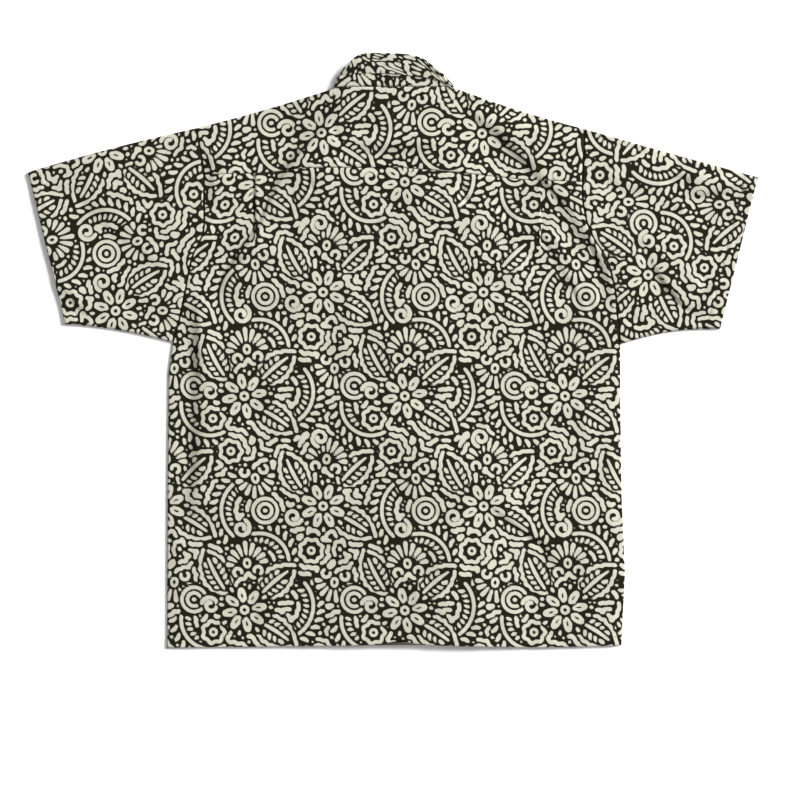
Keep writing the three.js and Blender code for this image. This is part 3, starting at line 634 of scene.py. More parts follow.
def draw_motifs(ink, taken):
    for motif, centre, turn, sizes in MOTIFS:
        strokes, slits, ground = motif(**sizes)
        cells, depth = around_line(spun(ground, turn, centre))
        ink[cells] = np.minimum(ink[cells], -depth - STROKE / 2)
        taken[cells] |= depth > 0
        for line in strokes:
            draw(ink, spun(line, turn, centre))
        for line in slits:
            cells, depth = around_line(spun(line, turn, centre))
            ink[cells] = np.minimum(ink[cells], -depth)


def ink_near(ink, place):
    """The field at a place, between its cells."""
    c, r = place[0] / FIELD_STEP - 0.5, place[1] / FIELD_STEP - 0.5
    c0, r0 = math.floor(c), math.floor(r)
    c1, r1 = (c0 + 1) % SHAPE[1], (r0 + 1) % SHAPE[0]
    c0w, r0w = c0 % SHAPE[1], r0 % SHAPE[0]
    low = ink[r0w, c0w] + (ink[r0w, c1] - ink[r0w, c0w]) * (c - c0)
    high = ink[r1, c0w] + (ink[r1, c1] - ink[r1, c0w]) * (c - c0)
    return low + (high - low) * (r - r0)


def slope(ink, place):
    across = ink_near(ink, place + (1.0, 0)) - ink_near(ink, place - (1.0, 0))
    up = ink_near(ink, place + (0, 1.0)) - ink_near(ink, place - (0, 1.0))
    return np.array([across, up]) / (math.hypot(across, up) + 1e-6)


def echo_half(ink, seed, way, room, length):
    """Half of a stroke that keeps its distance from what is drawn beside it."""
    place, heading, half = seed.copy(), None, []
    while ECHO["step"] * len(half) < length / 2:
        down = slope(ink, place)
        ahead = np.array([-down[1], down[0]]) * way
        if heading is not None and ahead @ heading < 0.55:
            break
        heading = ahead
        place = place + ahead * ECHO["step"]
        place = place + slope(ink, place) * np.clip(-room - ink_near(ink, place), -0.7, 0.7)
        if ink_near(ink, place) > -room + 0.55:
            break
        half.append(place)
    return half


def wavy(line):
    """A long stroke with a small wave in it, fading out at both ends."""
    run = np.arange(len(line)) * ECHO["step"]
    way = unit(np.gradient(line, axis=0))
    out = ECHO["wave"] * np.sin(run / ECHO["wave_length"]) * np.sin(math.pi * run / run[-1])
    return line + np.column_stack([-way[:, 1], way[:, 0]]) * out[:, None]


def draw_echoes(ink, taken):
    """Short strokes that fill what the motifs leave, each along its neighbours."""
    chance = np.random.default_rng(ECHO["seed"])
    while True:
        width = STROKE * chance.uniform(0.92, 1.12)
        room = GAP + width / 2
        fits = np.flatnonzero((ink <= -room) & (ink >= -room - 1.2) & ~taken)
        if not len(fits):
            fits = np.flatnonzero((ink <= -room) & ~taken)
        if not len(fits):
            return
        r, c = divmod(int(chance.choice(fits)), SHAPE[1])
        seed = np.array([(c + 0.5) * FIELD_STEP, (r + 0.5) * FIELD_STEP])
        length = chance.uniform(ECHO["shortest"], ECHO["longest"])
        ahead, behind = [echo_half(ink, seed, way, room, length) for way in (1, -1)]
        line = np.array([*behind[::-1], seed, *ahead])
        if len(line) < 3:
            line = np.array([seed - (0.4, 0), seed + (0.4, 0)])
        elif len(line) > 12:
            line = wavy(line)
        draw(ink, np.column_stack([line, np.full(len(line), width)]))


def draw_dots(ink, taken):
    """A dot in each dark place that is still wide enough for one, the widest first."""
    while True:
        spots = np.where(taken, 0, ink)
        r, c = divmod(int(spots.argmin()), SHAPE[1])
        radius = -spots[r, c] - GAP * 0.92
        if radius < SMALLEST_DOT:
            return
        x, y = (c + 0.5) * FIELD_STEP, (r + 0.5) * FIELD_STEP
        draw(ink, np.array([[x - 0.3, y, 2 * radius], [x + 0.3, y, 2 * radius]]))


def print_field():
    """The print over one repeat, its corners rounded a little as the ink spreads."""
    ink = np.full(SHAPE, -STROKE_REACH)
    taken = np.zeros(SHAPE, bool)
    draw_motifs(ink, taken)
    draw_echoes(ink, taken)
    draw_dots(ink, taken)
    field = np.clip(ink, -FIELD_LIMIT, FIELD_LIMIT)
    fx, fy = np.fft.fftfreq(SHAPE[1], FIELD_STEP), np.fft.fftfreq(SHAPE[0], FIELD_STEP)[:, None]
    rounding = np.exp(-2 * (math.pi * PRINT_ROUNDING) ** 2 * (fx**2 + fy**2))
    field = np.real(np.fft.ifft2(np.fft.fft2(field) * rounding))
    return field - np.quantile(field, 1 - PALE_SHARE)


PRINT = print_field()


def ink_at(s, t):
    """The print's ink at points of the flat cloth."""
    c, r = s / FIELD_STEP - 0.5, t / FIELD_STEP - 0.5
    c0, r0 = np.floor(c).astype(int), np.floor(r).astype(int)
    fc, fr = c - c0, r - r0
    left, right = c0 % SHAPE[1], (c0 + 1) % SHAPE[1]
    below, above = r0 % SHAPE[0], (r0 + 1) % SHAPE[0]
    low = PRINT[below, left] * (1 - fc) + PRINT[below, right] * fc
    high = PRINT[above, left] * (1 - fc) + PRINT[above, right] * fc
    return low * (1 - fr) + high * fr


def add_node(tree, kind, values=(), **settings):
    """A new node with its settings, and its sockets' own values."""
    node = tree.nodes.new(kind)
    for key, value in settings.items():
        setattr(node, key, value)
    for socket, value in dict(values).items():
        node.inputs[socket].default_value = value
    return node


DARK_INK = (0.0088, 0.0086, 0.0036)
PALE_GROUND = (0.525, 0.520, 0.428)
INK_BLEED = 0.5
PRINT_EDGE = 0.22
PALE_RANGE = {"From Min": 0.3, "From Max": 0.7, "To Min": 0.90, "To Max": 1.05}
WARP_SCALE, WEFT_SCALE = 520.0, 470.0
RUMPLE_SHARE = 5.0
COTTON = {"Roughness": 0.86, "Specular IOR Level": 0.1, "Sheen Weight": 0.04, "Sheen Roughness": 0.5}


def printed_cotton(name, dark, pale):
    """Plain-weave cotton with a print in one dark colour round pale motifs, dark as painted shade where
    its ink attribute marks a seam's ditch.
    """
    material, tree, shader = finish_of(name, COTTON)
    link = tree.links.new
    place = add_node(tree, "ShaderNodeUVMap", uv_map="cloth").outputs["UV"]
    # The ink attribute holds the print, and also the painted shade set in the seams' ditches.
    ink = add_node(tree, "ShaderNodeAttribute", attribute_name="ink")
    bleed = add_node(tree, "ShaderNodeTexNoise", {"Scale": 900.0, "Detail": 3.0, "Roughness": 0.6})
    link(place, bleed.inputs["Vector"])
    wander_sizes = {1: INK_BLEED, 2: -INK_BLEED / 2}
    wander = add_node(tree, "ShaderNodeMath", wander_sizes, operation="MULTIPLY_ADD")
    link(bleed.outputs["Fac"], wander.inputs[0])
    edge = add_node(tree, "ShaderNodeMath", operation="ADD")
    link(ink.outputs["Fac"], edge.inputs[0])
    link(wander.outputs[0], edge.inputs[1])
    printed = add_node(tree, "ShaderNodeMapRange", {"From Min": -PRINT_EDGE, "From Max": PRINT_EDGE})
    link(edge.outputs[0], printed.inputs["Value"])

    patches = add_node(tree, "ShaderNodeTexNoise", {"Scale": 26.0, "Detail": 4.0, "Roughness": 0.62})
    link(place, patches.inputs["Vector"])
    pale_share = add_node(tree, "ShaderNodeMapRange", PALE_RANGE)
    link(patches.outputs["Fac"], pale_share.inputs["Value"])
    pale_sizes = {"Factor": 1.0, 6: (*pale, 1)}
    pale_tone = add_node(tree, "ShaderNodeMix", pale_sizes, data_type="RGBA", blend_type="MULTIPLY")
    link(pale_share.outputs["Result"], pale_tone.inputs[7])
    colour = add_node(tree, "ShaderNodeMix", {6: (*dark, 1)}, data_type="RGBA")
    link(printed.outputs["Result"], colour.inputs[0])
    link(pale_tone.outputs[2], colour.inputs[7])
    link(colour.outputs[2], shader.inputs["Base Color"])

    warp, weft = [
        add_node(tree, "ShaderNodeTexWave", {"Scale": scale, "Distortion": 0.4}, bands_direction=way)
        for scale, way in ((WARP_SCALE, "X"), (WEFT_SCALE, "Y"))
    ]
    weave = add_node(tree, "ShaderNodeMath", operation="ADD")
    for socket, threads in enumerate((warp, weft)):
        link(place, threads.inputs["Vector"])
        link(threads.outputs["Fac"], weave.inputs[socket])
    rumple = add_node(tree, "ShaderNodeTexNoise", {"Scale": 95.0, "Detail": 3.0, "Roughness": 0.55})
    link(place, rumple.inputs["Vector"])
    lumps = add_node(tree, "ShaderNodeMath", {1: RUMPLE_SHARE}, operation="MULTIPLY_ADD")
    link(rumple.outputs["Fac"], lumps.inputs[0])
    link(weave.outputs[0], lumps.inputs[2])
    bump = add_node(tree, "ShaderNodeBump", {"Strength": 0.35, "Distance": 0.00016})
    link(lumps.outputs[0], bump.inputs["Height"])
    link(bump.outputs["Normal"], shader.inputs["Normal"])
    return material


cotton = printed_cotton("printed_cotton_cloth", DARK_INK, PALE_GROUND)
# Painted shade: the ink value that colours a seam's ditch as dark as the shade that falls in it.
SEAM_PAINTED_SHADE = -2.0


def cloth_sheet(name, points, lay, wall=CLOTH, join_columns=False, drop=None, seam=None):
    """A piece of cloth from rows and columns of points, with its print laid by flat coordinates.

    Drop marks the cells left out, and seam the points in a seam's ditch, which are given dark ink there as
    painted shade.
    """
    rows, columns = points.shape[:2]
    bm = bmesh.new()
    bmesh.ops.create_grid(bm, x_segments=columns - 1, y_segments=rows - 1, size=0.5)
    if drop is not None:
        bm.faces.ensure_lookup_table()
        gone = [bm.faces[i] for i in np.flatnonzero(drop.ravel())]
        bmesh.ops.delete(bm, geom=gone, context="FACES_ONLY")
    mesh = bpy.data.meshes.new(name)
    bm.to_mesh(mesh)
    bm.free()
    mesh.vertices.foreach_set("co", (points.reshape(-1, 3) * MM).ravel())
    printed = ink_at(lay[..., 0], lay[..., 1])
    # Painted shade: points in a seam's ditch get the dark ink, standing in for the shade there.
    if seam is not None:
        printed[seam] = SEAM_PAINTED_SHADE
    ink = mesh.attributes.new("ink", "FLOAT", "POINT")
    ink.data.foreach_set("value", printed.ravel())
    corner = np.zeros(len(mesh.loops), int)
    mesh.loops.foreach_get("vertex_index", corner)
    flat = mesh.uv_layers.new(name="cloth")
    flat.data.foreach_set("uv", (lay.reshape(-1, 2)[corner] * MM).ravel())
    bm = bmesh.new()
    bm.from_mesh(mesh)
    if drop is not None:
        loose = [v for v in bm.verts if not v.link_faces]
        bmesh.ops.delete(bm, geom=loose, context="VERTS")
    if join_columns:
        rim = [v for v in bm.verts if v.is_boundary]
        bmesh.ops.remove_doubles(bm, verts=rim, dist=1e-6)
        ends = [e for e in bm.edges if e.is_boundary]
        if ends and wall is None:
            bmesh.ops.holes_fill(bm, edges=ends, sides=0)
        bmesh.ops.recalc_face_normals(bm, faces=bm.faces)
    bm.to_mesh(mesh)
    bm.free()
    mesh.shade_smooth()
    mesh.materials.append(cotton)
    piece = placed(name, mesh)
    if wall:
        thick = piece.modifiers.new("wall", "SOLIDIFY")
        thick.thickness = wall * MM
        thick.offset = 0
        thick.use_even_offset = False
    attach(piece, "root")
    return piece


PRINT_PITCH = 2.25
ARMHOLE_ROWS = 10
SIDE_ROWS = 11
LAST_ROW = ARMHOLE_ROWS + SIDE_ROWS
STRETCH_WIDTHS = (118, 385, 109)
YOKE_BEND_END = 0.45
HEM_BEND_START = 0.6
SIDE_EASE = 16
SEAM_TUCK = 0.3
BACK_LAY = (40, 420)
INSIDE_STEP = 6


def body_edge(side, r):
    """The body's edge at row r, from the yoke seam down the armhole and the side seam."""
    armhole, line = side["armhole_line"], side["side_line"]
    t = np.clip(r / ARMHOLE_ROWS, 0, 1) * (len(armhole) - 1)
    at_armhole = np.stack([np.interp(t, np.arange(len(armhole)), armhole[:, k]) for k in (0, 1)], 1)
    y = line[0, 1] + (line[-1, 1] - line[0, 1]) * np.clip((r - ARMHOLE_ROWS) / SIDE_ROWS, 0, 1)
    at_side = np.stack([np.interp(-y, -line[:, 1], line[:, 0]), y], 1)
    return np.where((r > ARMHOLE_ROWS)[:, None], at_side, at_armhole)


def even_rows(pitch):
    """Row numbers about one pitch apart down the body."""
    r = np.linspace(0, LAST_ROW, 400)
    run = run_along(body_edge(LEFT, r))
    return np.interp([*np.arange(0, run[-1], pitch), run[-1]], run, r)


def stretched(start, end, knots, counts):
    """One row across the back: outside one pleat, between the two, and outside the other."""
    stops = [start, *knots, end]
    parts = zip(stops[::2], stops[1::2], counts)
    return np.concatenate([np.linspace(first, last, count) for first, last, count in parts])


def bend_of(line, x, t):
    """How far a line lies above the straight one between its ends."""
    return np.interp(x, *line.T) - (line[0, 1] + (line[-1, 1] - line[0, 1]) * t)


# The pleats: the fold's edge stands up inside the pleat line, and the cloth dips outside it. The
# columns are the way from the line, the step up, and how far it reaches.
PLEAT_TAKE_UP = 26.0
PLEAT_LENGTH = 104.0
PLEAT_EDGE = 0.45
PLEAT_OPEN_SHARE = 0.55
PLEAT_STEPS = [(-1, 2.3, 16), (1, -0.5, 5)]
rows = even_rows(PRINT_PITCH)
starts, ends = body_edge(LEFT, rows), body_edge(RIGHT, rows)
counts = [round(width / PRINT_PITCH) for width in STRETCH_WIDTHS]
knots = [side["pleat"] + step for side in SIDES for step in (-PLEAT_EDGE, PLEAT_EDGE)]
x = np.array([stretched(start[0], end[0], knots, counts) for start, end in zip(starts, ends)])
t = (x - starts[:, :1]) / (ends[:, :1] - starts[:, :1])
seam_x = mix(LEFT["yoke_end"][0], RIGHT["yoke_end"][0], t)
share = (rows / LAST_ROW)[:, None]
y = mix(starts[:, 1:], ends[:, 1:], t)
y += bend_of(YOKE_LINE, seam_x, t) * (1 - smooth(0, YOKE_BEND_END, share))
y += bend_of(HEM_LINE, x, t) * smooth(HEM_BEND_START, 1, share)
y[0] -= SEAM_TUCK
z = back_level(x, y)
side_away = np.min([from_path(x, y, side["side_line"])[0] for side in SIDES], axis=0)
z -= (FOLD_OPENING - LAYER_STEP) * (1 - smooth(0, SIDE_EASE, side_away))
open_share = 1 - np.clip((np.interp(x, *YOKE_LINE.T) - y) / PLEAT_LENGTH, 0, 1)
opened = smooth(0, PLEAT_OPEN_SHARE, open_share)
lay_x = x.copy()
for side in SIDES:
    outward = (x - side["pleat"]) * side["sign"]
    for way, step, reach in PLEAT_STEPS:
        z += step * opened * np.exp(-np.abs(outward) / reach) * (outward * way > 0)
    lay_x += side["sign"] * PLEAT_TAKE_UP * open_share * (outward > 0)
middle = np.dstack([x, y, z])
normal = unit(np.cross(np.gradient(middle, axis=0), np.gradient(middle, axis=1)))
inside_columns = np.r_[0 : x.shape[1] - 1 : INSIDE_STEP, x.shape[1] - 1][::-1]
padded = np.pad(z, ((0, 0), (INSIDE_STEP, INSIDE_STEP)), "edge")
lowest = np.min([padded[:, k : k + x.shape[1]] for k in range(2 * INSIDE_STEP + 1)], axis=0)
outer = middle + normal * CLOTH / 2
inner = np.dstack([x, y, lowest - CLOTH / 2])[:, inside_columns]
lay = np.dstack([lay_x + BACK_LAY[0], y + BACK_LAY[1]])
ring = np.concatenate([outer, inner, outer[:, :1]], axis=1)
ring_lay = np.concatenate([lay, lay[:, inside_columns], lay[:, :1]], axis=1)
# Painted shade: the edge columns along the armholes are marked to be coloured dark ink.
painted_seam_shade = np.zeros(ring.shape[:2], bool)
for column in (0, x.shape[1] - 1, x.shape[1], -2, -1):
    painted_seam_shade[rows <= ARMHOLE_ROWS, column] = True
back_panel = cloth_sheet(
    "back_panel_cloth", ring, ring_lay, wall=None, join_columns=True, seam=painted_seam_shade
)
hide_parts("back_panel")

# Back yoke
# One piece of the same cotton from the yoke seam up to the neck. It runs over both shoulders to a
# seam on the fronts, and its lower edge is turned under and stitched on top of the back panel.
YOKE_FRONT_DEPTH = 30.0
YOKE_LIP = 0.55
YOKE_LIP_FADE = (2, 11)
YOKE_LAY = (152, 66)
YOKE_FRONT_SHIFT = 5
FRONT_NECK = [(75.5, 322), (62, 297), (42, 279), (20, 270.5), (0.9, 268)]
NECK_END_ROOM = 7
TURN_ROWS = 6
TURN_RADIUS = FOLD_OPENING / 2
TURN_INSET = TURN_RADIUS + 0.6
LEFT_COUNT, NECK_COUNT, RIGHT_COUNT = 88, 74, 84
YOKE_BACK_ROWS, YOKE_FRONT_ROWS = 58, 13
for side in SIDES:
    side["neck_line"] = [(CENTRE_X + side["sign"] * out, up) for out, up in FRONT_NECK]
    (sx, sy), (yx, yy) = side["shoulder"], side["yoke_end"]
    side["front_yoke_end"] = (sx - (yx - sx) / (yy - sy) * YOKE_FRONT_DEPTH, sy - YOKE_FRONT_DEPTH)


def shoulder_edge(side, t):
    return sagging(side["neck"], side["shoulder"], side["shoulder_sag"], t) - (0, TURN_INSET)


left_t, right_t = np.linspace(0, 1, LEFT_COUNT), np.linspace(0, 1, RIGHT_COUNT)
neck_x = np.linspace(LEFT["neck"][0] + NECK_END_ROOM, RIGHT["neck"][0] - NECK_END_ROOM, NECK_COUNT)
neck_edge = np.stack([neck_x, np.full(NECK_COUNT, NECK_SEAM_Y)], 1)
top = np.concatenate([shoulder_edge(LEFT, left_t)[::-1], neck_edge, shoulder_edge(RIGHT, right_t)])
low_x = np.linspace(LEFT["yoke_end"][0], RIGHT["yoke_end"][0], len(top))
low = np.stack([low_x, np.interp(low_x, *YOKE_LINE.T)], 1)
plan = mix(low, top, np.linspace(0, 1, YOKE_BACK_ROWS)[:, None, None])
above_seam = from_path(plan[..., 0], plan[..., 1], YOKE_LINE)[0]
lip = YOKE_LIP * (1 - smooth(*YOKE_LIP_FADE, above_seam))
yoke_back = np.dstack([plan, back_level(plan[..., 0], plan[..., 1]) + lip])
angle = np.linspace(0, math.pi, TURN_ROWS + 1)[1:, None]
turn_y = top[:, 1] + TURN_RADIUS * np.sin(angle)
turn_z = front_level(top[:, 0], top[:, 1], 0) + TURN_RADIUS * (1 + np.cos(angle))
yoke_turn = np.dstack([np.broadcast_to(top[:, 0], turn_y.shape), turn_y, turn_z])
left_seam = mix(LEFT["front_yoke_end"], LEFT["neck_line"][0], left_t[:, None])
right_seam = mix(RIGHT["neck_line"][0], RIGHT["front_yoke_end"], right_t[:, None])
front_seam = np.concatenate([left_seam, top[LEFT_COUNT : LEFT_COUNT + NECK_COUNT], right_seam])
plan = mix(top, front_seam, np.linspace(0, 1, YOKE_FRONT_ROWS + 1)[1:, None, None])
yoke_front = np.dstack([plan, front_level(plan[..., 0], plan[..., 1], 0)])
points = np.concatenate([yoke_back, yoke_turn, yoke_front])
past_turn = np.linspace(0, math.pi * TURN_RADIUS, TURN_ROWS)
past_front = np.linspace(0, YOKE_FRONT_DEPTH, YOKE_FRONT_ROWS) + YOKE_FRONT_SHIFT
past = np.concatenate([past_turn, past_front])[:, None]
lay_y = np.concatenate([yoke_back[..., 1], top[:, 1] + past])
lay = np.dstack([points[..., 0] + YOKE_LAY[0], lay_y + YOKE_LAY[1]])
drop = np.zeros((points.shape[0] - 1, points.shape[1] - 1), bool)
drop[YOKE_BACK_ROWS - 1 :, LEFT_COUNT - 1 : LEFT_COUNT + NECK_COUNT] = True
# Painted shade: the yoke's ends at the armholes are marked to be coloured dark ink.
painted_seam_shade = np.zeros(points.shape[:2], bool)
painted_seam_shade[:, [0, -1]] = True
back_yoke = cloth_sheet("back_yoke_cloth", points, lay, drop=drop, seam=painted_seam_shade)
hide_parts("back_yoke")

# Sleeves
# Each is one piece of the cotton, closed along its under edge into a tube and sewn into the
# armhole. Laid flat it has a fold along its top, and its cuff is a wide stitched hem.
SLEEVE_STATIONS = 132
SLEEVE_ROWS = 106
SLEEVE_SEAM_GAP = 0.4
CUFF_GAPE = 1.1
CUFF_GAPE_START = 0.72
TURN_SHARE = np.linspace(0, 1, TURN_ROWS)[1:-1]


def evenly(path, count):
    """Points the same distance apart along a path."""
    path = np.asarray(path, float)
    run = run_along(path)
    at = np.linspace(0, run[-1], count)
    return np.stack([np.interp(at, run, path[:, k]) for k in (0, 1)], 1)


def turned(centre, way, out):
    """The rounded fold between a sleeve's two layers, along a line of points."""
    shift = way[:, None] * (out * TURN_RADIUS * np.sin(math.pi * TURN_SHARE))[None, :, None]
    rise = CLOTH_LEVEL + TURN_RADIUS * (1 + out * np.cos(math.pi * TURN_SHARE))
    return np.dstack([centre[:, None] + shift, np.broadcast_to(rise, shift.shape[:2])])


def sleeve(name, side, lay_at):
    seam = evenly(np.vstack([side["shoulder"], side["armhole_line"]]), SLEEVE_STATIONS)
    w = np.linspace(0, 1, SLEEVE_STATIONS)
    v = np.linspace(0, 1, SLEEVE_ROWS)[:, None]
    cuff = mix(side["cuff_top"], side["cuff_bottom"], w[:, None])
    plan = mix(seam + (side["sign"] * SLEEVE_SEAM_GAP, 0), cuff, v[..., None])
    plan[..., 1] += (side["top_sag"] * (1 - w) + side["under_sag"] * w) * np.sin(math.pi * v)
    way = unit(plan[:, -1] - plan[:, 0])
    plan[:, 0] += way * TURN_INSET
    plan[:, -1] -= way * TURN_INSET
    upper = np.dstack([plan, back_level(plan[..., 0], plan[..., 1])])
    gape = CUFF_GAPE * smooth(CUFF_GAPE_START, 1, v) * np.sin(math.pi * w) ** 0.7
    upper[..., 2] += gape * (0.7 + 0.3 * np.sin(7 * w + side["sign"]))
    lower = np.dstack([plan, np.full(plan.shape[:2], CLOTH_LEVEL)])
    top_fold, under_fold = turned(plan[:, 0], way, -1), turned(plan[:, -1], way, 1)
    points = np.concatenate([lower[:, ::-1], top_fold, upper, under_fold, lower[:, -1:]], axis=1)
    out = unit(cuff.mean(0) - seam.mean(0))
    down = np.array([out[1], -out[0]]) * side["sign"]
    across, reach = plan @ down, plan @ out
    fold_length = math.pi * TURN_RADIUS
    past = across[:, -1:] + fold_length * TURN_SHARE
    before = across[:, :1] - fold_length * TURN_SHARE[::-1]
    below = (2 * across[:, :1] - across - fold_length)[:, ::-1]
    lay_s = np.concatenate([below, before, across, past, past[:, -1:] + 1], axis=1)
    first = np.repeat(reach[:, :1], len(TURN_SHARE), axis=1)
    last = np.repeat(reach[:, -1:], len(TURN_SHARE) + 1, axis=1)
    lay_t = np.concatenate([reach[:, ::-1], first, reach, last], axis=1)
    lay = np.dstack([lay_s + lay_at[0], lay_at[1] - lay_t])
    # Painted shade: the sleeve's row at the armhole seam is marked to be coloured dark ink.
    painted_seam_shade = np.zeros(points.shape[:2], bool)
    painted_seam_shade[0] = True
    piece = cloth_sheet(name + "_cloth", points, lay, join_columns=True, seam=painted_seam_shade)
    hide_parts(name)


sleeve("sleeve_left", LEFT, (30, 290))
sleeve("sleeve_right", RIGHT, (196, 400))

# Collar
# A one-piece camp collar: a band of the cotton, doubled over a light stiffening, that stands up
# from the neck seam, rolls over, and turns down as the leaf. Its points lie under the fronts.
COLLAR_CLOTH = 1.1
LEAF_TABLE_LEVEL = 0.7
END_BULGE = 2.0
STAND_RISE = 2.4
ROLL_ABOVE_NECK = 4.4
LEAF_ABOVE_NECK = 2.1
COLLAR_FOLD_END_SHARE = 0.3
COLLAR_SEAM_STEP = 0.36
CREASE_NECK_Y = 352
COLLAR_LAY = (20, 300)
STAND_STEPS, ROLL_STEPS, LEAF_STEPS = 14, 8, 40
COLLAR_LENGTH_STEPS = 250
CREASE_STEPS = 6
BACK_STEPS = 16
COLLAR_HALVES = [
    {
        "side": LEFT,
        "crease_neck": (-77.6, 354.2),
        "crease_roll": (-64, 378.5),
        "crease_edge": [(-76.5, 360), (-70.5, 369.5)],
        "roll": [(1.2, 299), (-22, 314), (-46, 340), (-64, 378.5)],
        "edge": [(-70, 236), (-90, 268), (-97, 308), (-88, 343), (-76.5, 360)],
    },
    {
        "side": RIGHT,
        "crease_neck": (81, 354.2),
        "crease_roll": (66, 370),
        "crease_edge": [(82, 350), (80, 351)],
        "roll": [(2.8, 299), (26, 314), (48, 338), (66, 370)],
        "edge": [(74, 236), (94, 268), (101, 308), (94, 338), (82, 350)],
    },
]
BACK_ROLL = [
    (-64, 378.5), (-57, 386), (-45.5, 394.5), (-27, 397.2), (12, 396), (37, 391), (53, 380.5), (66, 370),
]
BACK_EDGE = [
    (-70.5, 369.5), (-50, 371.4), (-17, 371.6), (6, 370), (32, 367.4), (52, 364.2), (67, 359.6), (80, 351),
]
COLLAR_CREASES = [
    (-1.6, 0, 2.6, 2.6, [(-72, 368), (-66, 378), (-54, 388)]),
    (1.0, 0, 4.0, 4.0, [(-62, 368), (-52, 380), (-40, 392)]),
    (-1.2, 0, 2.4, 2.4, [(50, 386), (60, 374), (70, 363)]),
    (-1.1, 0, 2.2, 2.2, [(38, 384), (52, 374), (60, 366)]),
    (0.9, 0, 4.0, 4.0, [(44, 388), (58, 376), (66, 366)]),
    (-0.6, 0, 5.0, 5.0, [(-20, 396), (-12, 386), (-16, 376)]),
    (0.6, 0, 7.0, 7.0, [(8, 396), (14, 384), (12, 374)]),
]


def collar_half(half):
    """The sections from the front edge round to the crease, as neck, roll, edge and turn."""
    side = half["side"]
    neck = np.vstack([smooth_line(side["neck_line"], 8)[::-1], [(half["crease_neck"][0], CREASE_NECK_Y)]])
    neck[:-1] += (-side["sign"] * COLLAR_SEAM_STEP, COLLAR_SEAM_STEP)
    count = len(neck)
    roll, edge = smooth_line(half["roll"], count), smooth_line(half["edge"], count)
    front = np.hstack([neck, roll, edge, np.full((count, 1), -90)])
    t = np.linspace(0, 1, CREASE_STEPS + 1)[:, None]
    still = np.broadcast_to([*half["crease_neck"], *half["crease_roll"]], (len(t), 4))
    crease = np.hstack([still, mix(*half["crease_edge"], t), mix(-90, 90, t)])
    return np.vstack([front, crease])


left_half, right_half = [collar_half(half) for half in COLLAR_HALVES]
t = np.linspace(0, 1, BACK_STEPS + 1)[:, None]
back_neck = mix(COLLAR_HALVES[0]["crease_neck"], COLLAR_HALVES[1]["crease_neck"], t)
back_roll, back_edge = smooth_line(BACK_ROLL, len(t)), smooth_line(BACK_EDGE, len(t))
back_half = np.hstack([back_neck, back_roll, back_edge, np.full((len(t), 1), 90)])[1:-1]
sections = np.vstack([left_half, back_half, right_half[::-1]])
middle_section = len(left_half) + len(back_half) / 2
fine = smooth_line(sections, COLLAR_LENGTH_STEPS)
number = np.linspace(0, len(sections) - 1, COLLAR_LENGTH_STEPS)
sign = np.where(number < middle_section, -1, 1)
neck, roll, edge = fine[:, :2], fine[:, 2:4], fine[:, 4:6]
turn = np.radians(np.clip(fine[:, 6], -90, 90))
up_stand = unit(roll - neck)
outward = np.stack([-up_stand[:, 1], up_stand[:, 0]], 1) * -sign[:, None]
under = front_level(*neck.T, np.where(sign < 0, LEFT["front_rise"], RIGHT["front_rise"]))
across_neck = swell(neck[:, 0] - CENTRE_X, NECK_RISE["across"])
over = back_lie(*neck.T) + NECK_RISE["height"] * smooth(-0.2, 1, np.sin(turn)) * across_neck


def collar_ring(plan, low, high):
    radius = (high - low) / 2
    bulge = (np.minimum(radius, END_BULGE) * np.cos(turn))[:, None]
    return np.column_stack([plan + outward * bulge, low + radius * (1 + np.sin(turn))])


def stand_at(share):
    """The stand's points at a share of its height: it rises from the neck seam to the roll."""
    return collar_ring(mix(neck, roll, share), under, over + STAND_RISE * share)


def leaf_at(share):
    """The leaf's points at a share of its depth: it slopes down from the roll to its edge."""
    low = np.full(len(roll), LEAF_TABLE_LEVEL)
    return collar_ring(mix(roll, edge, share), low, over + mix(ROLL_ABOVE_NECK, LEAF_ABOVE_NECK, share))


band = [stand_at(share) for share in np.linspace(0, 1, STAND_STEPS)]
inner_roll, outer_roll = stand_at(1), leaf_at(0)
centre = (inner_roll + outer_roll) / 2
spoke = inner_roll - centre
beyond = np.column_stack([up_stand, np.zeros(len(roll))]) * np.linalg.norm(spoke, axis=1, keepdims=True)
for t in np.linspace(0, math.pi, ROLL_STEPS)[1:-1]:
    band.append(centre + spoke * math.cos(t) + beyond * math.sin(t))
band += [leaf_at(share) for share in np.linspace(0, 1, LEAF_STEPS)]
points = np.array(band).transpose(1, 0, 2)
on_back = smooth(0.5, 1, np.sin(turn))[:, None]
x, y = points[..., 0], points[..., 1]
creases = fold_height(x, y, COLLAR_CREASES, COLLAR_FOLD_END_SHARE) + 0.25 * np.sin(x / 9 + y / 14)
points[..., 2] += creases * on_back
along = run_along(points.mean(1))[:, None]
steps_across = np.linalg.norm(np.diff(points, axis=1), axis=2)
across = np.cumsum(np.pad(steps_across, ((0, 0), (1, 0))), axis=1)
lay = np.dstack(np.broadcast_arrays(along + COLLAR_LAY[0], COLLAR_LAY[1] - across))
collar = cloth_sheet("collar_cloth", points, lay, wall=COLLAR_CLOTH)
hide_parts("collar")

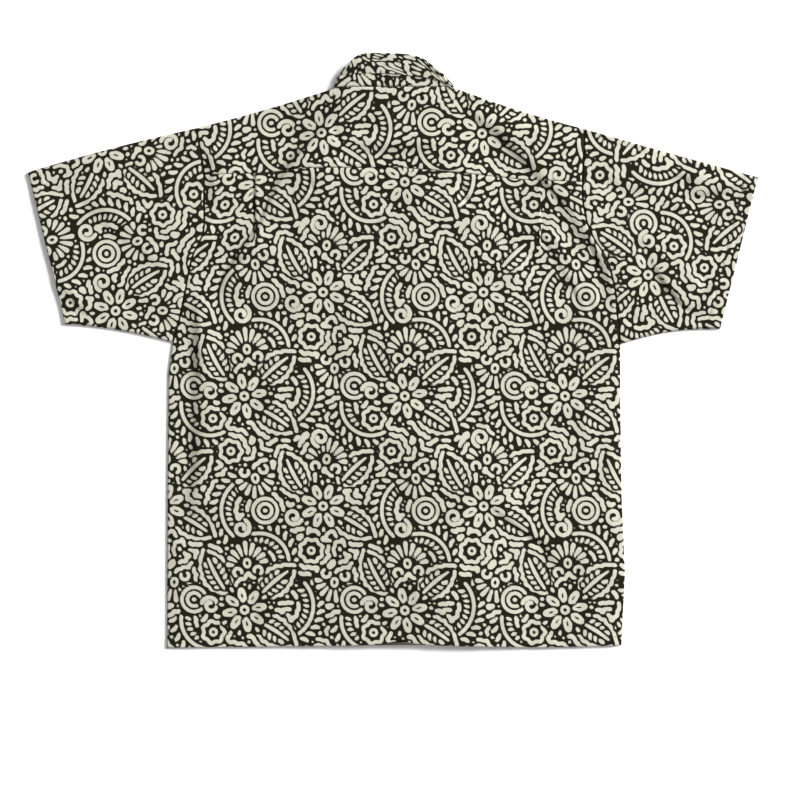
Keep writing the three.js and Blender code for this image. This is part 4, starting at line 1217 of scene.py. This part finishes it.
# Fronts
# Two pieces of the cotton under the back, from the front yoke seam to the hem. The wearer's left
# front laps over the right one, so lying face down it is the lower of the two, on its buttons.
FRONT_PITCH = 2.45
FRONT_NECK_ROWS = 8
FRONT_LENGTH = 730
FRONT_WIDTH = 322
FRONT_HEM_SHORTER = 2.0
FRONT_NECK_DROP = 0.6
FRONT_FOLD_END_SHARE = 0.2
FRONT_FLAT_BAND = (30, 70)
FRONT_FOLD_FADE = (4, 30)
FRONT_FOLDS = [
    (1.0, 0, 8, 8, [(-210, 190), (-196, 120), (-214, 30)]),
    (0.8, 0, 7, 7, [(-120, 60), (-132, -40), (-112, -150)]),
    (1.0, 0, 9, 9, [(-240, -90), (-220, -200), (-236, -300)]),
    (0.8, 0, 7, 7, [(-160, -220), (-140, -300), (-150, -380)]),
    (1.0, 0, 8, 8, [(214, 180), (196, 100), (222, 0)]),
    (0.8, 0, 7, 7, [(130, 110), (118, 10), (140, -90)]),
    (1.0, 0, 9, 9, [(250, -60), (232, -170), (240, -290)]),
    (0.7, 0, 7, 7, [(150, -180), (166, -280), (152, -370)]),
]


def front_panel(name, side, lay_at):
    edge_x = CENTRE_X - side["sign"] * FRONT_OVERLAP
    neck_end = (edge_x, side["neck_line"][-1][1] - FRONT_NECK_DROP)
    neck = np.vstack([smooth_line(side["neck_line"], 8), [neck_end]])
    q = np.linspace(0, LAST_ROW + 1, round(FRONT_LENGTH / FRONT_PITCH))
    outer = body_edge(side, np.clip(q - 1, 0, None))
    high = q < 1
    outer[high] = mix(side["front_yoke_end"], side["yoke_end"], q[high][:, None])
    hem_y = np.interp(edge_x, *HEM_LINE.T) + FRONT_HEM_SHORTER
    at_neck = np.stack([np.interp(q, np.arange(len(neck)), neck[:, k]) for k in (0, 1)], 1)
    down = np.clip((q - FRONT_NECK_ROWS) / (LAST_ROW + 1 - FRONT_NECK_ROWS), 0, 1)[:, None]
    inner = np.where((q <= FRONT_NECK_ROWS)[:, None], at_neck, mix(neck[-1], (edge_x, hem_y), down))
    t = np.linspace(0, 1, round(FRONT_WIDTH / FRONT_PITCH))[None, :, None]
    plan = mix(outer[:, None], inner[:, None], t)
    x, y = plan[..., 0], plan[..., 1]
    last = 0.5 + 0.5 * smooth(LAST_ROW, LAST_ROW + 1, q)
    hemward = (smooth(0.7, 1, q / (LAST_ROW + 1)) * last)[:, None]
    straight = mix(outer[-1, 1], hem_y, t[..., 0])
    y = y + hemward * (np.interp(x, *HEM_LINE.T) + FRONT_HEM_SHORTER - straight)
    y[0] -= SEAM_TUCK
    clear = smooth(*FRONT_FLAT_BAND, np.abs(x - CENTRE_X)) * edge_fade(x, y, *FRONT_FOLD_FADE)
    folds = fold_height(x, y, FRONT_FOLDS, FRONT_FOLD_END_SHARE) * clear
    points = np.dstack([x, y, front_level(x, y, side["front_rise"]) + folds])
    lay = np.dstack([lay_at[0] - x, y + lay_at[1]])
    piece = cloth_sheet(name + "_cloth", points, lay)
    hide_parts(name)


front_panel("front_left", LEFT, (60, 500))
front_panel("front_right", RIGHT, (410, 236))

# Sewing
# Dark polyester thread, sewn by machine: one row along the hem, one round each cuff, one beside
# the outer front's edge, and six buttonholes worked in close bars round a slit.
STITCH_LENGTH = 2.5
STITCH_SPACING = 3.4
ROW_POINTS = 400
THREAD_RADIUS = 0.25
THREAD_TONES = [(0.016, 0.015, 0.010), (0.045, 0.043, 0.030)]
HEM_ROW_ENDS = (-303, 308)
CUFF_ROW_SHIFT = 3.5
CUFF_ROW_ENDS = [(0, -6), (0, 2)]
CUFF_ROW_LIFT = 0.5
FRONT_ROW_INSET = 6.0
FRONT_ROW_ENDS = (260, -384)
BUTTONHOLE = {"length": 14.5, "bars": 22, "slit": 0.3, "width": 1.8, "end_bars": 4, "end_pitch": 0.4}
BUTTONS = ["button_1", "button_2", "button_3", "button_4", "button_5", "button_6"]


def streak(tree, shader, texture, tones):
    """Two tones of a small part's colour, mixed by a texture that stays with the part."""
    place = add_node(tree, "ShaderNodeTexCoord")
    tree.links.new(place.outputs["Object"], texture.inputs["Vector"])
    ends = {6: (*tones[0], 1), 7: (*tones[1], 1)}
    tone = add_node(tree, "ShaderNodeMix", ends, data_type="RGBA")
    tree.links.new(texture.outputs["Fac"], tone.inputs[0])
    tree.links.new(tone.outputs[2], shader.inputs["Base Color"])


thread, tree, shader = finish_of("dark_thread", {"Roughness": 0.6, "Sheen Weight": 0.2})
ply = add_node(tree, "ShaderNodeTexWave", {"Scale": 2600.0})
streak(tree, shader, ply, THREAD_TONES)


def stitches_along(path):
    """The ends of the stitches of a row along a path of points on the cloth."""
    run = run_along(path)
    starts = np.arange(STITCH_SPACING / 2, run[-1] - STITCH_LENGTH, STITCH_SPACING)
    ends = np.stack([starts, starts + STITCH_LENGTH], 1)
    return np.stack([np.interp(ends, run, path[:, k]) for k in range(3)], 2).tolist()


def sewn(name, stitches):
    """One object of small rounded stitches, each from one point to another."""
    bm = bmesh.new()
    for start, end in stitches:
        a, b = Vector(start) * MM, Vector(end) * MM
        place = Matrix.Translation((a + b) / 2) @ (b - a).to_track_quat("Z", "Y").to_matrix().to_4x4()
        radius = THREAD_RADIUS * MM
        size = Matrix.Diagonal((radius, radius, (b - a).length / 2, 1))
        bmesh.ops.create_uvsphere(bm, u_segments=6, v_segments=4, radius=1, matrix=place @ size)
    mesh = bpy.data.meshes.new(name)
    bm.to_mesh(mesh)
    bm.free()
    mesh.shade_smooth()
    mesh.materials.append(thread)
    piece = placed(name, mesh)
    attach(piece, "root")


def on_back(plan, lift=0.0):
    """A line of points on top of the upper layer."""
    fine = evenly(plan, ROW_POINTS)
    return np.column_stack([fine, back_level(*fine.T) + CLOTH / 2 + lift])


def under_front(x, y):
    """A point on the outer side of the outer front, which faces the table."""
    level = front_level(np.array([x]), np.array([y]), LEFT["front_rise"])[0]
    return [x, y, level - CLOTH / 2]


hem_row = HEM_LINE[1:-1] + (0, HEM_TURN)
first, last = (HEM_ROW_ENDS[0], hem_row[0, 1] - 0.8), (HEM_ROW_ENDS[1], hem_row[-1, 1] + 1)
sewn("hem_stitches", stitches_along(on_back(np.vstack([first, hem_row, last]))))
cuff_rows = []
for side in SIDES:
    cuff_row = side["cuff_line"] + (-side["sign"] * CUFF_TURN, CUFF_ROW_SHIFT) + CUFF_ROW_ENDS
    cuff_rows += stitches_along(on_back(cuff_row, CUFF_ROW_LIFT))
sewn("cuff_stitches", cuff_rows)
front_row_x = CENTRE_X + FRONT_OVERLAP - FRONT_ROW_INSET
front_row = [under_front(front_row_x, y) for y in np.linspace(*FRONT_ROW_ENDS, 120)]
sewn("front_edge_stitches", stitches_along(np.array(front_row)))
for button in BUTTONS:
    low, high = [np.array(corner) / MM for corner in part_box(button)]
    centre_x, centre_y = (low[:2] + high[:2]) / 2
    half, width = BUTTONHOLE["length"] / 2, BUTTONHOLE["width"]
    bars = []
    for y in np.linspace(centre_y - half, centre_y + half, BUTTONHOLE["bars"]):
        for way in (-1, 1):
            ends = [centre_x + way * out for out in (BUTTONHOLE["slit"], width)]
            bars.append([under_front(x, y) for x in ends])
    for way in (-1, 1):
        for step in range(BUTTONHOLE["end_bars"]):
            y = centre_y + way * (half + BUTTONHOLE["end_pitch"] * step)
            bars.append([under_front(centre_x + x, y) for x in (-width, width)])
    sewn("buttonhole_" + button[-1], bars)

# Buttons
# Six four-hole buttons turned from dark resin that looks like horn, with a raised rim and a
# dished face. Each is sewn to the inner front through the buttonhole, by two bars of thread.
BUTTON_THICKNESS = 2.4
BUTTON_SIDES = 56
BUTTON_PROFILE = [
    (0, 0.62), (2.4, 0.62), (3.6, 0.56), (4.15, 0.28), (4.45, 0.05), (4.8, 0), (5.25, 0.06), (5.6, 0.35),
    (5.7, 0.8), (5.55, 1.6), (5.2, 2.25), (4.9, 2.4), (0, 2.4),
]
HOLE_PLACE = 1.15
HOLE_RADIUS = 0.62
HOLE_SIDES = 18
HOLES = [(x, y) for x in (-HOLE_PLACE, HOLE_PLACE) for y in (-HOLE_PLACE, HOLE_PLACE)]
DRILL_PROFILE = [(0, -1), (HOLE_RADIUS, -1), (HOLE_RADIUS, 4), (0, 4)]
SHARP_FROM = math.radians(40)
STRANDS = (-0.22, 0, 0.22)
BAR_LEVEL = 0.46
BAR_OVERHANG = 0.1
HORN_TONES = [(0.012, 0.010, 0.007), (0.062, 0.050, 0.033)]
horn, tree, shader = finish_of("dark_horn_resin", {"Roughness": 0.32, "Coat Weight": 0.15})
streaks = add_node(tree, "ShaderNodeTexNoise", {"Scale": 260.0, "Detail": 4.0, "Distortion": 1.6})
streak(tree, shader, streaks, HORN_TONES)
turning_marks = add_node(tree, "ShaderNodeBump", {"Strength": 0.15, "Distance": 0.00005})
tree.links.new(streaks.outputs["Fac"], turning_marks.inputs["Height"])
tree.links.new(turning_marks.outputs["Normal"], shader.inputs["Normal"])


def turned_solid(name, profile, sides):
    """A closed solid of revolution round the Z axis, from radius and height in millimetres."""
    bm = bmesh.new()
    line = [bm.verts.new((radius * MM, 0, height * MM)) for radius, height in profile]
    edges = [bm.edges.new(pair) for pair in zip(line[:-1], line[1:])]
    turn = {"cent": (0, 0, 0), "axis": (0, 0, 1), "angle": 2 * math.pi, "steps": sides}
    bmesh.ops.spin(bm, geom=line + edges, use_duplicate=False, **turn)
    bmesh.ops.remove_doubles(bm, verts=bm.verts, dist=1e-6)
    bmesh.ops.recalc_face_normals(bm, faces=bm.faces)
    mesh = bpy.data.meshes.new(name)
    bm.to_mesh(mesh)
    bm.free()
    return mesh


blank = placed("button_blank", turned_solid("button_blank", BUTTON_PROFILE, BUTTON_SIDES))
drills = []
for x, y in HOLES:
    mesh = turned_solid("drill", DRILL_PROFILE, HOLE_SIDES)
    mesh.transform(Matrix.Translation((x * MM, y * MM, 0)))
    drill = placed("drill", mesh)
    drills.append(drill)
    cut = blank.modifiers.new("hole", "BOOLEAN")
    cut.operation = "DIFFERENCE"
    cut.solver = "EXACT"
    cut.object = drill
drilled = bpy.data.meshes.new_from_object(blank.evaluated_get(bpy.context.evaluated_depsgraph_get()))
for spare in [blank, *drills]:
    bpy.data.objects.remove(spare)
drilled.materials.clear()
drilled.materials.append(horn)
drilled.set_sharp_from_angle(angle=SHARP_FROM)
for button in BUTTONS:
    low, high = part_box(button)
    middle = np.array([(low.x + high.x) / 2, (low.y + high.y) / 2, low.z])
    mesh = drilled.copy()
    mesh.transform(Matrix.Translation(middle))
    piece = placed("turned_" + button, mesh)
    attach(piece, "root")
    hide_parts(button)
    bars = []
    for x in (-HOLE_PLACE, HOLE_PLACE):
        for strand in STRANDS:
            level = BAR_LEVEL + 0.08 * abs(strand)
            ends = (-HOLE_PLACE - BAR_OVERHANG, HOLE_PLACE + BAR_OVERHANG)
            bars.append([middle / MM + (x + strand, y, level) for y in ends])
        for y in (-HOLE_PLACE, HOLE_PLACE):
            bars.append([middle / MM + (x, y, level) for level in (0.4, BUTTON_THICKNESS + 0.3)])
    sewn("thread_of_" + button, bars)
